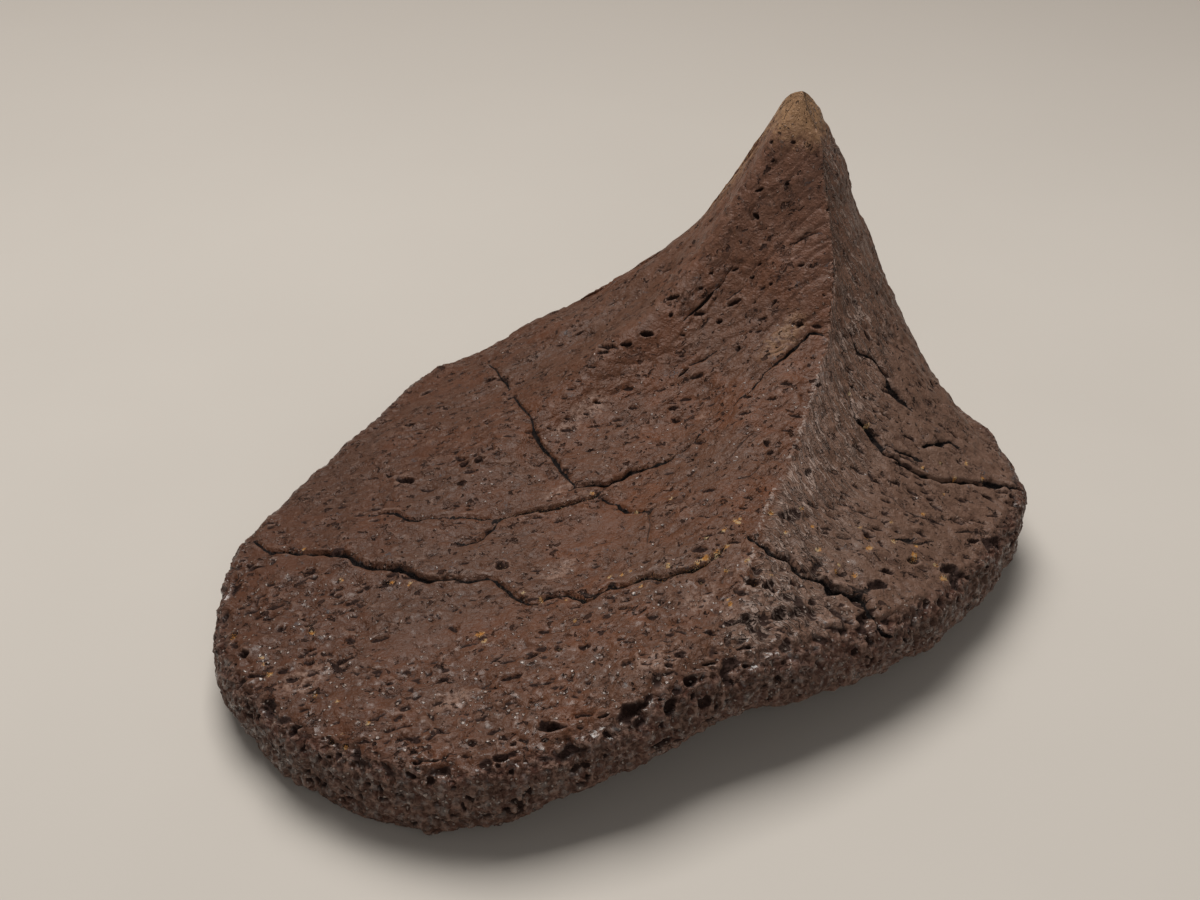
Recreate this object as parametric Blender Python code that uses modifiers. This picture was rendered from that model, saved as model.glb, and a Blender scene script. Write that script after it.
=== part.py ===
"""A keeled ankylosaur scute: one plate of fossil bone with a spike, lying on its underside.

The outside is one closed skin of columns and rings. Four ribs run down from the spike's tip to
the rim, with lines down the faces between them, and a rounded wall closes the edge down to a
dished underside. Lumps, cracks and pits are then pressed into the skin. Metres in the scene,
millimetres in this file; +Z is up, +Y runs along the keel from its low foot to the spike, and
+X points to the narrow side.
"""

import math
import random

import bmesh
import bpy
import numpy as np
from mathutils import Vector, noise
from mathutils.bvhtree import BVHTree

MM = 0.001
# The plan point that becomes the origin: the middle of the plate.
MIDDLE = (7.0, -7.2)

# Driving points, in millimetres: x, y and height. The spike's tip, then each line's points
# from the tip down to the rim. The keel and the shoulders are ribs; the faces hang between.
TIP = (26, 38, 57.9)
KEEL = [
    (28.0, 35.4, 56.6), (29.2, 33.3, 52.5), (30, 30.7, 47), (31.8, 26, 41), (33.2, 20, 34.5),
    (32.6, 14, 30), (31.8, 7.5, 27), (30.2, -1.4, 24.5), (28.4, -9, 22.6), (25.8, -19, 21),
    (24.4, -28, 19.7), (23.8, -36, 18.8),
]
FRONT_FACE = [
    (25.2, 35.2, 56.4), (24.2, 32.4, 49), (22.8, 27, 37.5), (20, 19, 28), (16.5, 9, 22),
    (12, -3, 18.6), (7.5, -18, 17), (3, -35, 16), (0, -50, 15.2),
]
LEFT_FACE = [
    (23.9, 36.0, 56.4), (21.8, 33.4, 48.5), (17.4, 27.6, 37), (12, 20.5, 28), (5.5, 12, 22),
    (-3, 0, 18.2), (-13, -14, 16), (-25, -31, 13.8), (-34, -44, 12.2),
]
LEFT_REAR_FACE = [
    (23.3, 37.8, 56.4), (20.6, 37.4, 48.5), (15, 34, 36.5), (8.5, 30.5, 28), (0.5, 26, 22),
    (-9, 19, 18), (-21, 10.5, 15.4), (-33, 0.5, 13.5),
]
LEFT_SHOULDER = [
    (23.6, 39.8, 56.4), (20.6, 42.2, 50), (15.6, 43, 40.5), (10, 41.5, 32), (3, 39.5, 26.5),
    (-9, 35.5, 19.5), (-22, 29.5, 14),
]
BACK = [(26.6, 41.0, 56.4), (27.4, 43.6, 48.5), (28, 46.5, 33), (28, 48.5, 21)]
RIGHT_SHOULDER = [
    (28.6, 39.2, 56.4), (30.8, 40.5, 51), (34.2, 40.5, 41.5), (38.4, 39.2, 32), (42.8, 38, 23.5),
    (46.6, 35.5, 16.5),
]
RIGHT_FACE = [
    (28.9, 37.4, 56.4), (30.8, 35.8, 50.5), (34, 31.5, 41), (38, 27, 33), (42.6, 21.5, 26),
    (48, 15.5, 20.5), (54, 10, 16.5),
]
RIGHT_FRONT_FACE = [
    (28.7, 36.2, 56.4), (30.9, 32.9, 49), (33.2, 27.5, 39.5), (35.8, 20.5, 32), (38, 11, 26),
    (40.2, 1, 22), (43, -9, 18.8), (46.6, -18, 16.4),
]

# The rim's outline seen from above, from the keel's foot round the wide left side: x, y,
# height of the top edge, height of the bottom edge, width of the rounded shoulder.
RIM = [
    (24, -48, 18.5, 7, 7),
    (10.5, -58.5, 16.5, 5, 6),
    (-3, -65.6, 14, 1.5, 4),
    (-16, -66, 13, -0.6, 4),
    (-33, -59.5, 12, -0.6, 4),
    (-46, -45.5, 11, 0, 4),
    (-50.2, -29, 11, 0.5, 3.5),
    (-46.4, -11.5, 11, 0.5, 3.5),
    (-39.5, 5, 11, 0, 3),
    (-31.5, 24.5, 12, -0.4, 3),
    (-12, 41, 12, -0.6, 4),
    (8, 49, 13, -0.6, 4),
    (28, 52, 13, -0.6, 4),
    (42, 45, 13, -0.6, 4),
    (51, 32, 13, -0.4, 4),
    (59.6, 17, 13.5, -0.4, 4),
    (64.2, 3.5, 13, 0.5, 4),
    (59.5, -12, 13.5, 2, 4),
    (51, -26.5, 14.5, 3.5, 5),
    (38, -39.5, 17, 5.5, 7),
]
# Which rim point each line comes down to.
RIBS = {0: KEEL, 9: LEFT_SHOULDER, 12: BACK, 14: RIGHT_SHOULDER}
FACES = {2: FRONT_FACE, 4: LEFT_FACE, 7: LEFT_REAR_FACE, 16: RIGHT_FACE, 18: RIGHT_FRONT_FACE}

COLUMNS = 96
TOP_RINGS = 30
ROLL_RINGS = 4
UNDER_RINGS = 12
CROWDING = 1.35
HANGING_STEPS = 3000
EASING_STEPS = 60
UNDER_ROLL = 6.0
ROLL_FLATNESS = 0.78
DISH_HEIGHT = 5.0
KEEL_CREASE = 0.6

# Cracks seen from above: half width, depth, then the points of the route.
CRACKS = {
    "left": (1.2, 2.2, [
        (-50, -22), (-41, -26), (-32.5, -27.5), (-28, -30), (-21, -31.5), (-15.5, -32),
        (-9.5, -32.5), (-5, -36), (-0.5, -34.5), (4, -35.5), (7, -33), (13, -31.5),
        (18.5, -29.5), (20.5, -26.5),
    ]),
    "foot": (1.3, 2.6, [
        (24, -24.5), (27, -26.5), (29.5, -27), (31.5, -29), (36, -30), (40.5, -31), (42, -33),
        (43.5, -37),
    ]),
    "right": (1.2, 2.2, [
        (35.5, 6.5), (37.5, 1.5), (41, -1), (45.5, -3.5), (51.5, -2.5), (57.5, 1), (64.5, 3.5),
    ]),
    "spike": (1.0, 1.6, [(36, 15), (40, 13.5), (43, 10), (46, 8.5)]),
    "cross": (1.0, 1.5, [(-21, 19.5), (-16.5, 13), (-13.5, 6), (-9.5, -3), (-5.5, -7.5), (-2, -12)]),
    "keel": (1.0, 1.6, [
        (-2, -13.5), (2.5, -12), (8, -8), (13, -5), (17.5, 0), (21.5, 3.5), (26, 9), (30.5, 13.5),
    ]),
    "branch": (1.0, 1.4, [(2, -14), (-5, -17), (-9.5, -18.5), (-13, -22), (-16.5, -25)]),
}

# Single pits seen from above: x, y, radius, depth.
PITS = [
    (-9.8, -29.5, 1.5, 1.3), (25.2, -38.7, 2.0, 1.8), (28.9, -37, 2.0, 1.8), (33, -33, 1.7, 1.4),
    (30.3, -31, 1.6, 1.3), (39, -31.5, 1.6, 1.2), (41, -26.5, 1.7, 1.2), (25.3, -31.8, 1.5, 1.2),
    (-31.5, -15.5, 1.5, 1.0), (-27.5, -11.5, 1.6, 1.1), (-30.5, 4, 1.5, 1.1), (-18, -8.5, 1.5, 1.0),
    (-30, 14, 1.3, 0.9), (0.5, 13, 1.8, 1.2), (5, 15.5, 1.4, 1.0), (16, 17.5, 1.4, 0.9),
    (19.5, 12.5, 1.4, 0.9), (20.5, 28.5, 1.1, 0.7), (-33.5, -42, 1.5, 1.1), (-27, -44.5, 1.6, 1.1),
    (-13.5, -42, 1.4, 0.9), (-30.5, -37, 1.4, 0.9), (-13.5, -57, 1.6, 1.2), (-7, -61, 1.8, 1.4),
]

# Lumps over the whole skin: size across and height of each layer.
LUMPS = [(15, 0.75), (6.5, 0.5)]
WALL_LUMPS = (3.6, 0.45)
# Scattered pits: seed, spacing, smallest and largest radius, depth as a share of the radius.
WALL_PITS = (4, 3.3, 1.0, 1.9, 0.75)
TOP_PITS = (9, 5.2, 0.9, 1.4, 0.6)
CANDIDATES = 9000

PAD_HEIGHT = 0.25
TRIANGLES = 9600

BONE_COLOUR = (0.135, 0.082, 0.06, 1)
BONE_ROUGHNESS = 0.55


def spline(points, at, closed=False):
    """Catmull-Rom curve through the points, read at places counted in points."""
    points = np.asarray(points, float)
    count = len(points)
    low = np.floor(at).astype(int)
    if not closed:
        low = np.clip(low, 0, count - 2)
    t = (at - low)[:, None]

    def point(index):
        if closed:
            return points[index % count]
        inside = np.clip(index, 0, count - 1)
        slope = np.where((index < 0)[:, None], points[1] - points[0], points[-1] - points[-2])
        return points[inside] + (index - inside)[:, None] * slope

    before, start, end, after = (point(low + step) for step in (-1, 0, 1, 2))
    return 0.5 * (
        2 * start
        + (end - before) * t
        + (2 * before - 5 * start + 4 * end - after) * t**2
        + (3 * start - before - 3 * end + after) * t**3
    )


def even_points(points, count, closed=False, crowding=1.0):
    """Points at even steps of the spline's length, and their places; crowding packs the start."""
    last = len(points) if closed else len(points) - 1
    fine = np.linspace(0, last, 40 * last + 1)
    curve = spline(points, fine, closed)
    steps = np.linalg.norm(np.diff(curve[:, :3], axis=0), axis=1)
    length = np.concatenate([[0], np.cumsum(steps)])
    share = np.arange(count) / count if closed else np.linspace(0, 1, count)
    places = np.interp(share**crowding * length[-1], length, fine)
    return spline(points, places, closed), places


def eased(value):
    value = np.clip(value, 0, 1)
    return value * value * (3 - 2 * value)


def hang_top(shoulder, places):
    """The top's rings: every line down the spike is set first, and the rest hangs between them."""
    tip = np.array(TIP, float)
    share = np.linspace(0, 1, TOP_RINGS + 1) ** CROWDING
    rings = tip + share[:, None, None] * (shoulder - tip)
    set_down = np.zeros(rings.shape[:2], bool)
    set_down[0] = set_down[-1] = True
    face_columns = []
    for rim_point, line in [*RIBS.items(), *FACES.items()]:
        gap = np.abs(places - rim_point)
        column = int(np.argmin(np.minimum(gap, len(RIM) - gap)))
        points = [TIP, *line, tuple(shoulder[column])]
        rings[:, column] = even_points(points, TOP_RINGS + 1, crowding=CROWDING)[0]
        set_down[:, column] = True
        if rim_point in FACES:
            face_columns.append(column)
    for _ in range(HANGING_STEPS):
        mean = (np.roll(rings, 1, 1) + np.roll(rings, -1, 1)) / 4
        mean[1:-1] += (rings[:-2] + rings[2:]) / 4
        rings[~set_down] = mean[~set_down]
    # The lines down the faces soften, most of all near the tip, where they run close together.
    set_down[1:-1, face_columns] = False
    softness = 0.1 + 0.9 * (1 - eased((np.arange(TOP_RINGS + 1) - 2) / 18))
    for _ in range(EASING_STEPS):
        mean = (np.roll(rings, 1, 1) + np.roll(rings, -1, 1)) / 2
        moved = rings + softness[:, None, None] * 0.5 * (mean - rings)
        rings[~set_down] = moved[~set_down]
    return rings


def skin_rings():
    """The whole skin as rings of points, from just below the tip to just above the dish's middle."""
    rim, places = even_points(RIM, COLUMNS, closed=True)
    outline = rim[:, :2]
    top, bottom, bevel = rim[:, 2], rim[:, 3], rim[:, 4]
    along = np.roll(outline, -1, 0) - np.roll(outline, 1, 0)
    along /= np.linalg.norm(along, axis=1)[:, None]
    inward = np.column_stack([along[:, 1], -along[:, 0]])

    def level(inset, height):
        return np.column_stack([outline + inward * np.reshape(inset, (-1, 1)), height])

    rings = list(hang_top(level(bevel, top), places))[1:]
    quarter = np.linspace(0, math.pi / 2, ROLL_RINGS + 1)
    for angle in quarter[1:]:
        drop = bevel * ROLL_FLATNESS * (1 - math.cos(angle))
        rings.append(level(bevel * (1 - math.sin(angle)), top - drop))
    for angle in quarter:
        inset = np.full(COLUMNS, UNDER_ROLL * (1 - math.cos(angle)))
        rings.append(level(inset, bottom + UNDER_ROLL * ROLL_FLATNESS * (1 - math.sin(angle))))
    edge = rings[-1]
    middle = np.array([*outline.mean(0), DISH_HEIGHT])
    for share in np.arange(1, UNDER_RINGS) / UNDER_RINGS:
        ring = edge + (middle - edge) * share
        ring[:, 2] = edge[:, 2] + (DISH_HEIGHT - edge[:, 2]) * eased(share)
        rings.append(ring)
    return rings, middle


def build_skin(collection):
    """The smooth plate: a ball whose points are moved on to the rings, then subdivided."""
    rings, middle = skin_rings()
    turns = len(rings) + 1
    form = bmesh.new()
    bmesh.ops.create_uvsphere(form, u_segments=COLUMNS, v_segments=turns, radius=1)
    groups = form.verts.layers.deform.verify()
    crease = form.edges.layers.float.new("crease_edge")
    wall_rings = range(TOP_RINGS - 1, TOP_RINGS + 2 * ROLL_RINGS)
    keel_points = set()
    for vert in form.verts:
        polar = math.acos(max(-1, min(1, vert.co.z)))
        ring = round(polar / math.pi * turns) - 1
        column = round(-math.atan2(vert.co.y, vert.co.x) / math.tau * COLUMNS) % COLUMNS
        if ring < 0:
            point = TIP
        elif ring < len(rings):
            point = rings[ring][column]
        else:
            point = middle
        vert.co = Vector((point[0] - MIDDLE[0], point[1] - MIDDLE[1], point[2])) * MM
        if ring in wall_rings:
            vert[groups][0] = 1.0
        elif ring >= wall_rings.stop:
            vert[groups][1] = 1.0
        if column == 0 and 0 < ring < TOP_RINGS - 2:
            keel_points.add(vert)
    for edge in form.edges:
        if edge.verts[0] in keel_points and edge.verts[1] in keel_points:
            edge[crease] = KEEL_CREASE
    bmesh.ops.recalc_face_normals(form, faces=form.faces)
    mesh = bpy.data.meshes.new("scute")
    form.to_mesh(mesh)
    form.free()
    scute = bpy.data.objects.new("scute", mesh)
    collection.objects.link(scute)
    scute.vertex_groups.new(name="wall")
    scute.vertex_groups.new(name="underside")
    subdivision = scute.modifiers.new("subdivision", "SUBSURF")
    subdivision.levels = subdivision.render_levels = 2
    apply_modifiers(scute)
    return scute


def apply_modifiers(obj):
    """Turns the modifiers' result into the object's own mesh."""
    bpy.context.view_layer.update()
    graph = bpy.context.evaluated_depsgraph_get()
    old = obj.data
    obj.data = bpy.data.meshes.new_from_object(
        obj.evaluated_get(graph), preserve_all_data_layers=True, depsgraph=graph
    )
    obj.data.name = "scute_skin"
    obj.modifiers.clear()
    bpy.data.meshes.remove(old)


def group_weights(obj, name):
    index = obj.vertex_groups[name].index
    weights = np.zeros(len(obj.data.vertices))
    for vert in obj.data.vertices:
        for group in vert.groups:
            if group.group == index:
                weights[vert.index] = group.weight
    return weights


def layer_of_lumps(points, size, height):
    return height * np.array([noise.noise(Vector(point / size)) for point in points])


def dropped_on(tree, x, y):
    """The point of the skin right below a plan point."""
    start = Vector((x - MIDDLE[0], y - MIDDLE[1], 100)) * MM
    hit = tree.ray_cast(start, Vector((0, 0, -1)))[0]
    return None if hit is None else np.array(hit) / MM


def crack_depth(points, tree, half_width, depth, route):
    """How far a crack sinks each point: a V along the route, thinning to both ends."""
    path, places = even_points(route, 14 * len(route))
    places = places / places[-1]
    sunk = np.zeros(len(points))
    for (x, y), place in zip(path, places):
        centre = dropped_on(tree, x, y)
        if centre is None:
            continue
        taper = 0.45 + 0.55 * math.sin(math.pi * min(1, max(0, place))) ** 0.5
        gap = np.linalg.norm(points - centre, axis=1)
        sunk = np.maximum(sunk, depth * taper * (1 - gap / (half_width * taper + 0.4)))
    return sunk


def pit_depth(points, centre, radius, depth):
    """How far one pit sinks each point: a round bowl."""
    gap = np.linalg.norm(points - centre, axis=1) / radius
    return depth * np.clip(1 - gap**2, 0, 1) ** 0.7


def scattered(points, weights, seed, spacing, smallest, largest):
    """Seeded centres no closer than the spacing, on points whose weight is over a half."""
    chance = random.Random(seed)
    allowed = np.nonzero(weights > 0.5)[0]
    kept = []
    for _ in range(CANDIDATES):
        centre = points[chance.choice(allowed)]
        radius = smallest + (largest - smallest) * chance.random() ** 1.6
        if not kept or np.linalg.norm(np.array([c for c, _ in kept]) - centre, axis=1).min() > spacing:
            kept.append((centre, radius))
    return kept


def press_relief(scute):
    """Moves every point of the skin along its normal: lumps out, cracks and pits in."""
    mesh = scute.data
    count = len(mesh.vertices)
    points, normals = np.empty(count * 3), np.empty(count * 3)
    mesh.vertices.foreach_get("co", points)
    mesh.vertices.foreach_get("normal", normals)
    points, normals = points.reshape(-1, 3) / MM, normals.reshape(-1, 3)
    wall = group_weights(scute, "wall")
    under = group_weights(scute, "underside")
    tree = BVHTree.FromPolygons(points * MM, [tuple(face.vertices) for face in mesh.polygons])

    rise = sum(layer_of_lumps(points, size, height) for size, height in LUMPS)
    rise += wall * layer_of_lumps(points, *WALL_LUMPS)
    rise *= np.clip((points[:, 2].max() - points[:, 2]) / 12, 0.15, 1)
    sunk = np.zeros(count)
    for half_width, depth, route in CRACKS.values():
        sunk = np.maximum(sunk, crack_depth(points, tree, half_width, depth, route))
    for x, y, radius, depth in PITS:
        sunk = np.maximum(sunk, pit_depth(points, dropped_on(tree, x, y), radius, depth))
    top = np.clip(1 - wall - under, 0, 1)
    for weights, (seed, spacing, smallest, largest, share) in ((wall, WALL_PITS), (top, TOP_PITS)):
        for centre, radius in scattered(points, weights, seed, spacing, smallest, largest):
            sunk = np.maximum(sunk, pit_depth(points, centre, radius, radius * share))
    points += normals * (rise - sunk)[:, None]
    mesh.vertices.foreach_set("co", (points * MM).ravel())
    mesh.update()


def thin_out(scute):
    """Fewer, larger triangles where the skin is smooth."""
    now = sum(len(face.vertices) - 2 for face in scute.data.polygons)
    thinning = scute.modifiers.new("thinning", "DECIMATE")
    thinning.ratio = TRIANGLES / now
    thinning.use_collapse_triangulate = True
    apply_modifiers(scute)


def cut_pads(scute):
    """Flat places to rest on, where the underside comes down lowest."""
    for vert in scute.data.vertices:
        if vert.co.z < PAD_HEIGHT * MM:
            vert.co.z = 0
    scute.data.update()


def bone_material():
    material = bpy.data.materials.new("fossil_bone")
    material.use_nodes = True
    surface = material.node_tree.nodes["Principled BSDF"]
    surface.inputs["Base Color"].default_value = BONE_COLOUR
    surface.inputs["Roughness"].default_value = BONE_ROUGHNESS
    surface.inputs["Metallic"].default_value = 0
    return material


def main():
    for obj in list(bpy.data.objects):
        bpy.data.objects.remove(obj)
    collection = bpy.data.collections.new("ankylosaur_scute")
    bpy.context.scene.collection.children.link(collection)
    scute = build_skin(collection)
    press_relief(scute)
    thin_out(scute)
    cut_pads(scute)
    scute.data.materials.append(bone_material())
    scute.data.polygons.foreach_set("use_smooth", [True] * len(scute.data.polygons))


main()
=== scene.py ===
"""The keeled ankylosaur scute, dressed as fossil bone on a pale table.

The plate is modelled again at high density from the same lines as its solid, then cracks, pits,
grain and cells are pressed into it. Millimetres in this file, metres in the scene.
"""

import math
import random

import bpy
import numpy as np
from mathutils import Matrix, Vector, kdtree, noise
from mathutils.bvhtree import BVHTree


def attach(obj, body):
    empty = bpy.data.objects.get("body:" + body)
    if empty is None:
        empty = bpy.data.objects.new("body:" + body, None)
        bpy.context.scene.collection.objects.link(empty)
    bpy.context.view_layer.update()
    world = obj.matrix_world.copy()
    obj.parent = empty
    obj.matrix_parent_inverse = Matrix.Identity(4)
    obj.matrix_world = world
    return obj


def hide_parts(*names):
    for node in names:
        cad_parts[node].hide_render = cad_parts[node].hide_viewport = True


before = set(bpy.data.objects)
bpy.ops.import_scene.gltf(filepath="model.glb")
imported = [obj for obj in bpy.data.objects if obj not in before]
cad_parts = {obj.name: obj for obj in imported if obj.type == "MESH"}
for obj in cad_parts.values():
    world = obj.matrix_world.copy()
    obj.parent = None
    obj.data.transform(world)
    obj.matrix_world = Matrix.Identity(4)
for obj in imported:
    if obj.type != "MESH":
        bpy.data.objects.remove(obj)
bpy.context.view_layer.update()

MM = 0.001

# ---------------------------------------------------------------- camera
PICTURE = (1200, 900)
CAMERA_TARGET = np.array([-7.0, 7.2, 15.0])
CAMERA_AZIMUTH = 8.0
CAMERA_ELEVATION = 36.0
CAMERA_DISTANCE = 250.0
CAMERA_LENS = 49.5
CAMERA_SENSOR = 36.0

# ---------------------------------------------------------------- the plate's lines
# The plan point that becomes the origin: the middle of the plate.
MIDDLE = (7.0, -7.2)
# The spike's tip, then each line's points from the tip down to the rim: x, y and height.
TIP = (25.9, 38.1, 58.1)
KEEL = [
    (26.9, 35.8, 56.0), (29.2, 33.3, 52.5), (30, 30.7, 47), (31.8, 26, 41), (33.2, 20, 34.5),
    (32.6, 14, 30), (31.8, 7.5, 27), (30.2, -1.4, 24.5), (28.4, -9, 22.6), (25.8, -19, 21),
    (24.4, -28, 19.7), (23.8, -36, 18.8),
]
FRONT_FACE = [
    (25.2, 35.2, 56.4), (24.2, 32.4, 49), (22.8, 27, 37.5), (20, 19, 28), (16.5, 9, 22),
    (12, -3, 18.6), (7.5, -18, 17), (3, -35, 16), (0, -50, 15.2),
]
LEFT_FACE = [
    (23.9, 36.0, 56.4), (21.8, 33.4, 48.5), (17.4, 27.6, 37), (12, 20.5, 28), (5.5, 12, 22),
    (-3, 0, 18.2), (-13, -14, 16), (-25, -31, 13.8), (-34, -44, 12.2),
]
LEFT_REAR_FACE = [
    (23.3, 37.8, 56.4), (20.6, 37.4, 48.5), (15, 34, 36.5), (8.5, 30.5, 28), (0.5, 26, 22),
    (-9, 19, 18), (-21, 10.5, 15.4), (-33, 0.5, 13.5),
]
LEFT_SHOULDER = [
    (23.6, 39.8, 56.4), (20.6, 42.2, 50), (15.6, 43, 40.5), (10, 41.5, 32), (3, 39.5, 26.5),
    (-9, 35.5, 19.5), (-22, 29.5, 14),
]
BACK = [(26.4, 40.2, 55.4), (27.4, 43.6, 48.5), (28, 46.5, 33), (28, 48.5, 21)]
RIGHT_SHOULDER = [
    (27.8, 39.0, 56.4), (30.6, 40.3, 51), (34.8, 40.5, 41.5), (39.3, 39.2, 32), (43.7, 38, 23.5),
    (46.6, 35.5, 16.5),
]
RIGHT_FACE = [
    (27.8, 37.5, 56.4), (30.1, 35.9, 50.5), (34.6, 31.3, 41), (39, 26.8, 33), (43.9, 21.2, 26),
    (49.2, 15.2, 20.5), (54.8, 9.8, 16.5),
]
RIGHT_FRONT_FACE = [
    (27.1, 36.5, 56.0), (30.9, 32.9, 49), (33.2, 27.5, 39.5), (35.8, 20.5, 32), (38, 11, 26),
    (40.2, 1, 22), (43, -9, 18.8), (46.6, -18, 16.4),
]
# The rim from the keel's foot round the wide left side: x, y, top height, bottom height and
# width of the rounded shoulder.
RIM = [
    (24, -48, 18.5, 7, 7),
    (10.5, -58.5, 16.5, 5, 6),
    (-3, -65.6, 14, 1.5, 4),
    (-16, -66, 13, -0.6, 4),
    (-33, -59.5, 12, -0.6, 4),
    (-46, -45.5, 11, 0, 4),
    (-50.2, -29, 11, 0.5, 3.5),
    (-46.4, -11.5, 11, 0.5, 3.5),
    (-39.5, 5, 11, 0, 3),
    (-31.5, 24.5, 12, -0.4, 3),
    (-12, 41, 12, -0.6, 4),
    (8, 49, 13, -0.6, 4),
    (28, 52, 13, -0.6, 4),
    (42, 45, 13, -0.6, 4),
    (51, 32, 13, -0.4, 4),
    (59.6, 17, 13.5, -0.4, 4),
    (64.2, 3.5, 13, 0.5, 4),
    (59.5, -12, 13.5, 2, 4),
    (51, -26.5, 14.5, 3.5, 5),
    (38, -39.5, 17, 5.5, 7),
]
RIBS = {0: KEEL, 9: LEFT_SHOULDER, 12: BACK, 14: RIGHT_SHOULDER}
FACES = {2: FRONT_FACE, 4: LEFT_FACE, 7: LEFT_REAR_FACE, 16: RIGHT_FACE, 18: RIGHT_FRONT_FACE}
BACK_RIM_POINT = 12
SHOULDER_RIM_POINT = 9

COLUMNS = 96
TOP_RINGS = 30
ROLL_RINGS = 4
UNDER_RINGS = 12
CROWDING = 1.35
HANGING_STEPS = 3000
EASING_STEPS = 60
UNDER_ROLL = 6.0
ROLL_FLATNESS = 0.78
DISH_HEIGHT = 5.0
KEEL_CREASE = 0.6
WALL_RINGS = range(TOP_RINGS - 1, TOP_RINGS + 2 * ROLL_RINGS)

# Lumps over the whole skin: size across and height of each layer.
LUMPS = [(15, 0.75), (6.5, 0.5)]
WALL_LUMPS = (3.6, 0.45)
FIRST_LEVELS = 2
SECOND_LEVELS = 2
# Ring numbers where the top turns into the wall and the wall into the underside.
WALL_START = 31.0
WALL_END = 37.6
EDGE_BLEND = 1.3
TRIANGLES = 194000

# ---------------------------------------------------------------- how the grain runs
# Picture points and the angle of the grain there, in degrees up from the picture's right.
GRAIN_LEFT = [
    (290, 500, 2), (330, 620, 12), (400, 470, 6), (480, 450, 12), (460, 600, 18), (380, 700, 22),
    (520, 700, 28), (600, 620, 30), (560, 400, 16), (620, 345, 6), (640, 440, 28),
    (700, 540, 36), (700, 400, 38), (750, 460, 42), (710, 290, 45), (770, 330, 42),
    (780, 220, 48), (620, 720, 30), (500, 780, 25),
]
GRAIN_RIGHT = [
    (838, 210, -68), (845, 300, -66), (835, 380, -62), (860, 440, -45), (900, 420, -48),
    (940, 470, -28), (980, 520, -22), (880, 540, -30), (820, 480, -40), (790, 560, -30),
    (900, 600, -15), (960, 440, -35),
]
# Plan points and plan angles where the plate is turned away from the picture.
GRAIN_BEHIND_LEFT = [(-20, 36, 20), (0, 42, 18), (15, 46, 12), (22, 44, 15)]
GRAIN_BEHIND_RIGHT = [(40, 44, -30), (50, 34, -40), (32, 47, -15), (60, 12, -45)]
GRAIN_STEPS = 2500

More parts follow.
